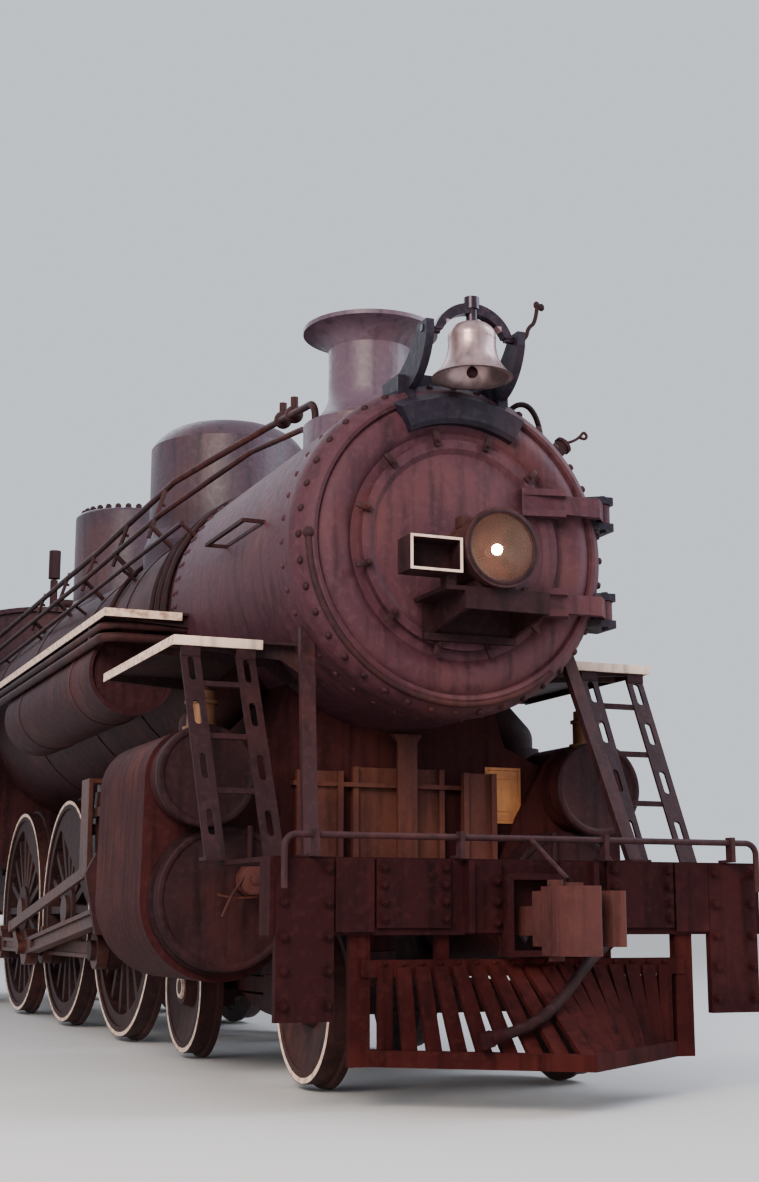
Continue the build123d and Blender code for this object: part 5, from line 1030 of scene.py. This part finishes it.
# %% Bell saddle
saddle_section = ((-5.84, 0.69), (-5.905, 0.69), (-5.925, 0.715), (-5.928, 0.832), (-5.895, 0.848),
                  (-5.86, 0.866), (-5.80, 0.908), (-5.76, 0.948), (-5.74, 0.952), (-5.74, 0.93),
                  (-5.80, 0.86), (-5.84, 0.83))
saddle_half_angle = math.radians(27)
clear_selection()
bpy.ops.mesh.primitive_circle_add(vertices=len(saddle_section), fill_type="NGON")
saddle = open_new()
shape = bmesh.from_edit_mesh(saddle.data)
for corner, (y, reach) in zip(shape.verts, saddle_section):
    corner.co = (-reach * math.sin(saddle_half_angle), y, boiler_z + reach * math.cos(saddle_half_angle))
bmesh.update_edit_mesh(saddle.data)
select_whole()
bpy.ops.mesh.spin(steps=20, angle=2 * saddle_half_angle, center=(0, 0, boiler_z), axis=forward)
select_whole()
bpy.ops.mesh.remove_doubles(threshold=1e-5)
bpy.ops.mesh.normals_make_consistent(inside=False)
hand_over(saddle, "bell_saddle", "hinge_iron_sky_and_shade", smooth_below=35)
print("bell saddle", len(saddle.data.polygons), "faces")

# %% [markdown]
# ## Edge boards
# A white painted strip is nailed along the front edge of each front running board, over the feet of the
# ladder's top plates. It is a cube at its size, and its edges are bevelled as a plane would take them off.

# %% Edge boards
strip_size, strip_x, strip_y, strip_z = (0.512, 0.01, 0.054), 1.244, -5.376, 2.37
for side, word in sides:
    strip = cut_block(strip_size, (side * strip_x, strip_y, strip_z))
    ease_edges(0.003)
    hand_over(strip, f"edge_board_{word}", "white_paint")
print("edge boards", strip_size)

# %% [markdown]
# ## Relief valves
# In front of each cylinder sits a round relief valve with a domed lid, a hand lever and a link. The
# lid is turned up in steps from an upright cylinder and then laid forward, and the levers are bent rod.
# One side's paths serve for both, with their x turned round.

# %% Relief valves
relief_x, relief_y, relief_z = 0.96, -5.159, 1.088
lid_r, lid_foot = 0.094, 0.014
lid_steps = ((0.9, 0), (1, 0.03), (0.94, 0.012), (0.8, 0.008), (0.42, 0), (1, 0.014), (0.7, 0.004))
hand_lever = ((0.01, -0.05, 0.07), (0.08, -0.06, 0), (0.15, -0.05, -0.12), (0.18, -0.04, -0.2))
link = ((-0.02, -0.03, -0.09), (0.1, -0.02, -0.11), (0.2, -0.01, -0.08))
for side, word in sides:
    middle = (side * relief_x, relief_y, relief_z)
    lid = turn_blank(40, lid_r, lid_foot, (0, 0, lid_foot / 2))
    draw_out(lid, lid_steps)
    clear_selection()
    lid.data.transform(standing(middle, forward))
    hand_over(lid, f"relief_lid_{word}", "coupler_rust", "root", 30)
    for name, path, radius, finish in (("relief_lever", hand_lever, 0.009, "iron"),
                                       ("relief_link", link, 0.007, "rods")):
        points = path_from(middle, [(side * x, y, z) for x, y, z in path])
        bend_pipe(f"{name}_{word}", points, radius, finish, "root")
print("relief valves at", relief_x, relief_z)

# %% [markdown]
# ## Cab window sashes
# Each cab window has a wooden sash that stands in its opening. It is the flat frame once more, turned
# upright by a matrix in its mesh: its width goes along the engine and its height up.

# %% Sashes
sash_x, sash_z = 1.485, 3.32
sash_width, sash_height, sash_bar, sash_thickness = 0.64, 0.76, 0.045, 0.03
window_middles = (5.89, 6.66)
upright = Matrix(((0, 0, 1), (1, 0, 0), (0, 1, 0))).to_4x4()
for side, word in sides:
    for n, middle in enumerate(window_middles):
        sash = make_frame(sash_width, sash_height, sash_bar, sash_thickness)
        place = Matrix.Translation((side * sash_x + sash_thickness / 2, middle, sash_z))
        sash.data.transform(place @ upright)
        hand_over(sash, f"cab_sash_{word}_{n + 1}", "shield_boards")
print("sashes", 2 * len(window_middles))

# %% [markdown]
# ## Floor and light
# The part is shown on a plain pale floor under soft light: one large warm lamp ahead, on the left of
# the picture, a cooler one on the right, a broad one behind, and an even pale surround. Large lamps
# give the broad, soft sheen along the boiler that tells round iron from flat.

# %% Floor, lights and surround
clear_selection()
bpy.ops.mesh.primitive_plane_add(size=900, location=(0, 0, -0.002))
floor = bpy.context.object
floor.name = "floor"
tree, shader = plain_shader("floor_paint")
shader.inputs["Base Color"].default_value = (0.62, 0.6, 0.58, 1)
shader.inputs["Roughness"].default_value = 0.9
floor.data.materials.append(finishes["floor_paint"])
warm, cool = (1, 0.86, 0.74), (0.8, 0.86, 1)
lamps = (("key", (-9, -15, 8), 2300, 6, warm), ("sky", (10, -8, 10), 1600, 8, cool),
         ("back", (-3, 12, 14), 900, 10, cool))
lit_point = Vector((0, -3, 2))
for name, place, power, size, tint in lamps:
    lamp_data = bpy.data.lights.new(name, "AREA")
    lamp_data.energy = power
    lamp_data.size = size
    lamp_data.color = tint
    lamp = bpy.data.objects.new(name, lamp_data)
    bpy.context.scene.collection.objects.link(lamp)
    lamp.location = place
    lamp.rotation_euler = (lit_point - Vector(place)).to_track_quat("-Z", "Y").to_euler()
world = bpy.data.worlds.new("surround")
world.use_nodes = True
background = world.node_tree.nodes["Background"]
background.inputs["Color"].default_value = (0.82, 0.88, 0.97, 1)
background.inputs["Strength"].default_value = 1.0
bpy.context.scene.world = world
print("lamps", [lamp[0] for lamp in lamps])

# %% [markdown]
# ## Close
# The seeds were only copied from, so they are removed.

# %% Remove the seeds and finish
for seed in (rivet, small_rivet, shoulder_rivet, bolt, big_bolt, dog):
    bpy.data.objects.remove(seed)
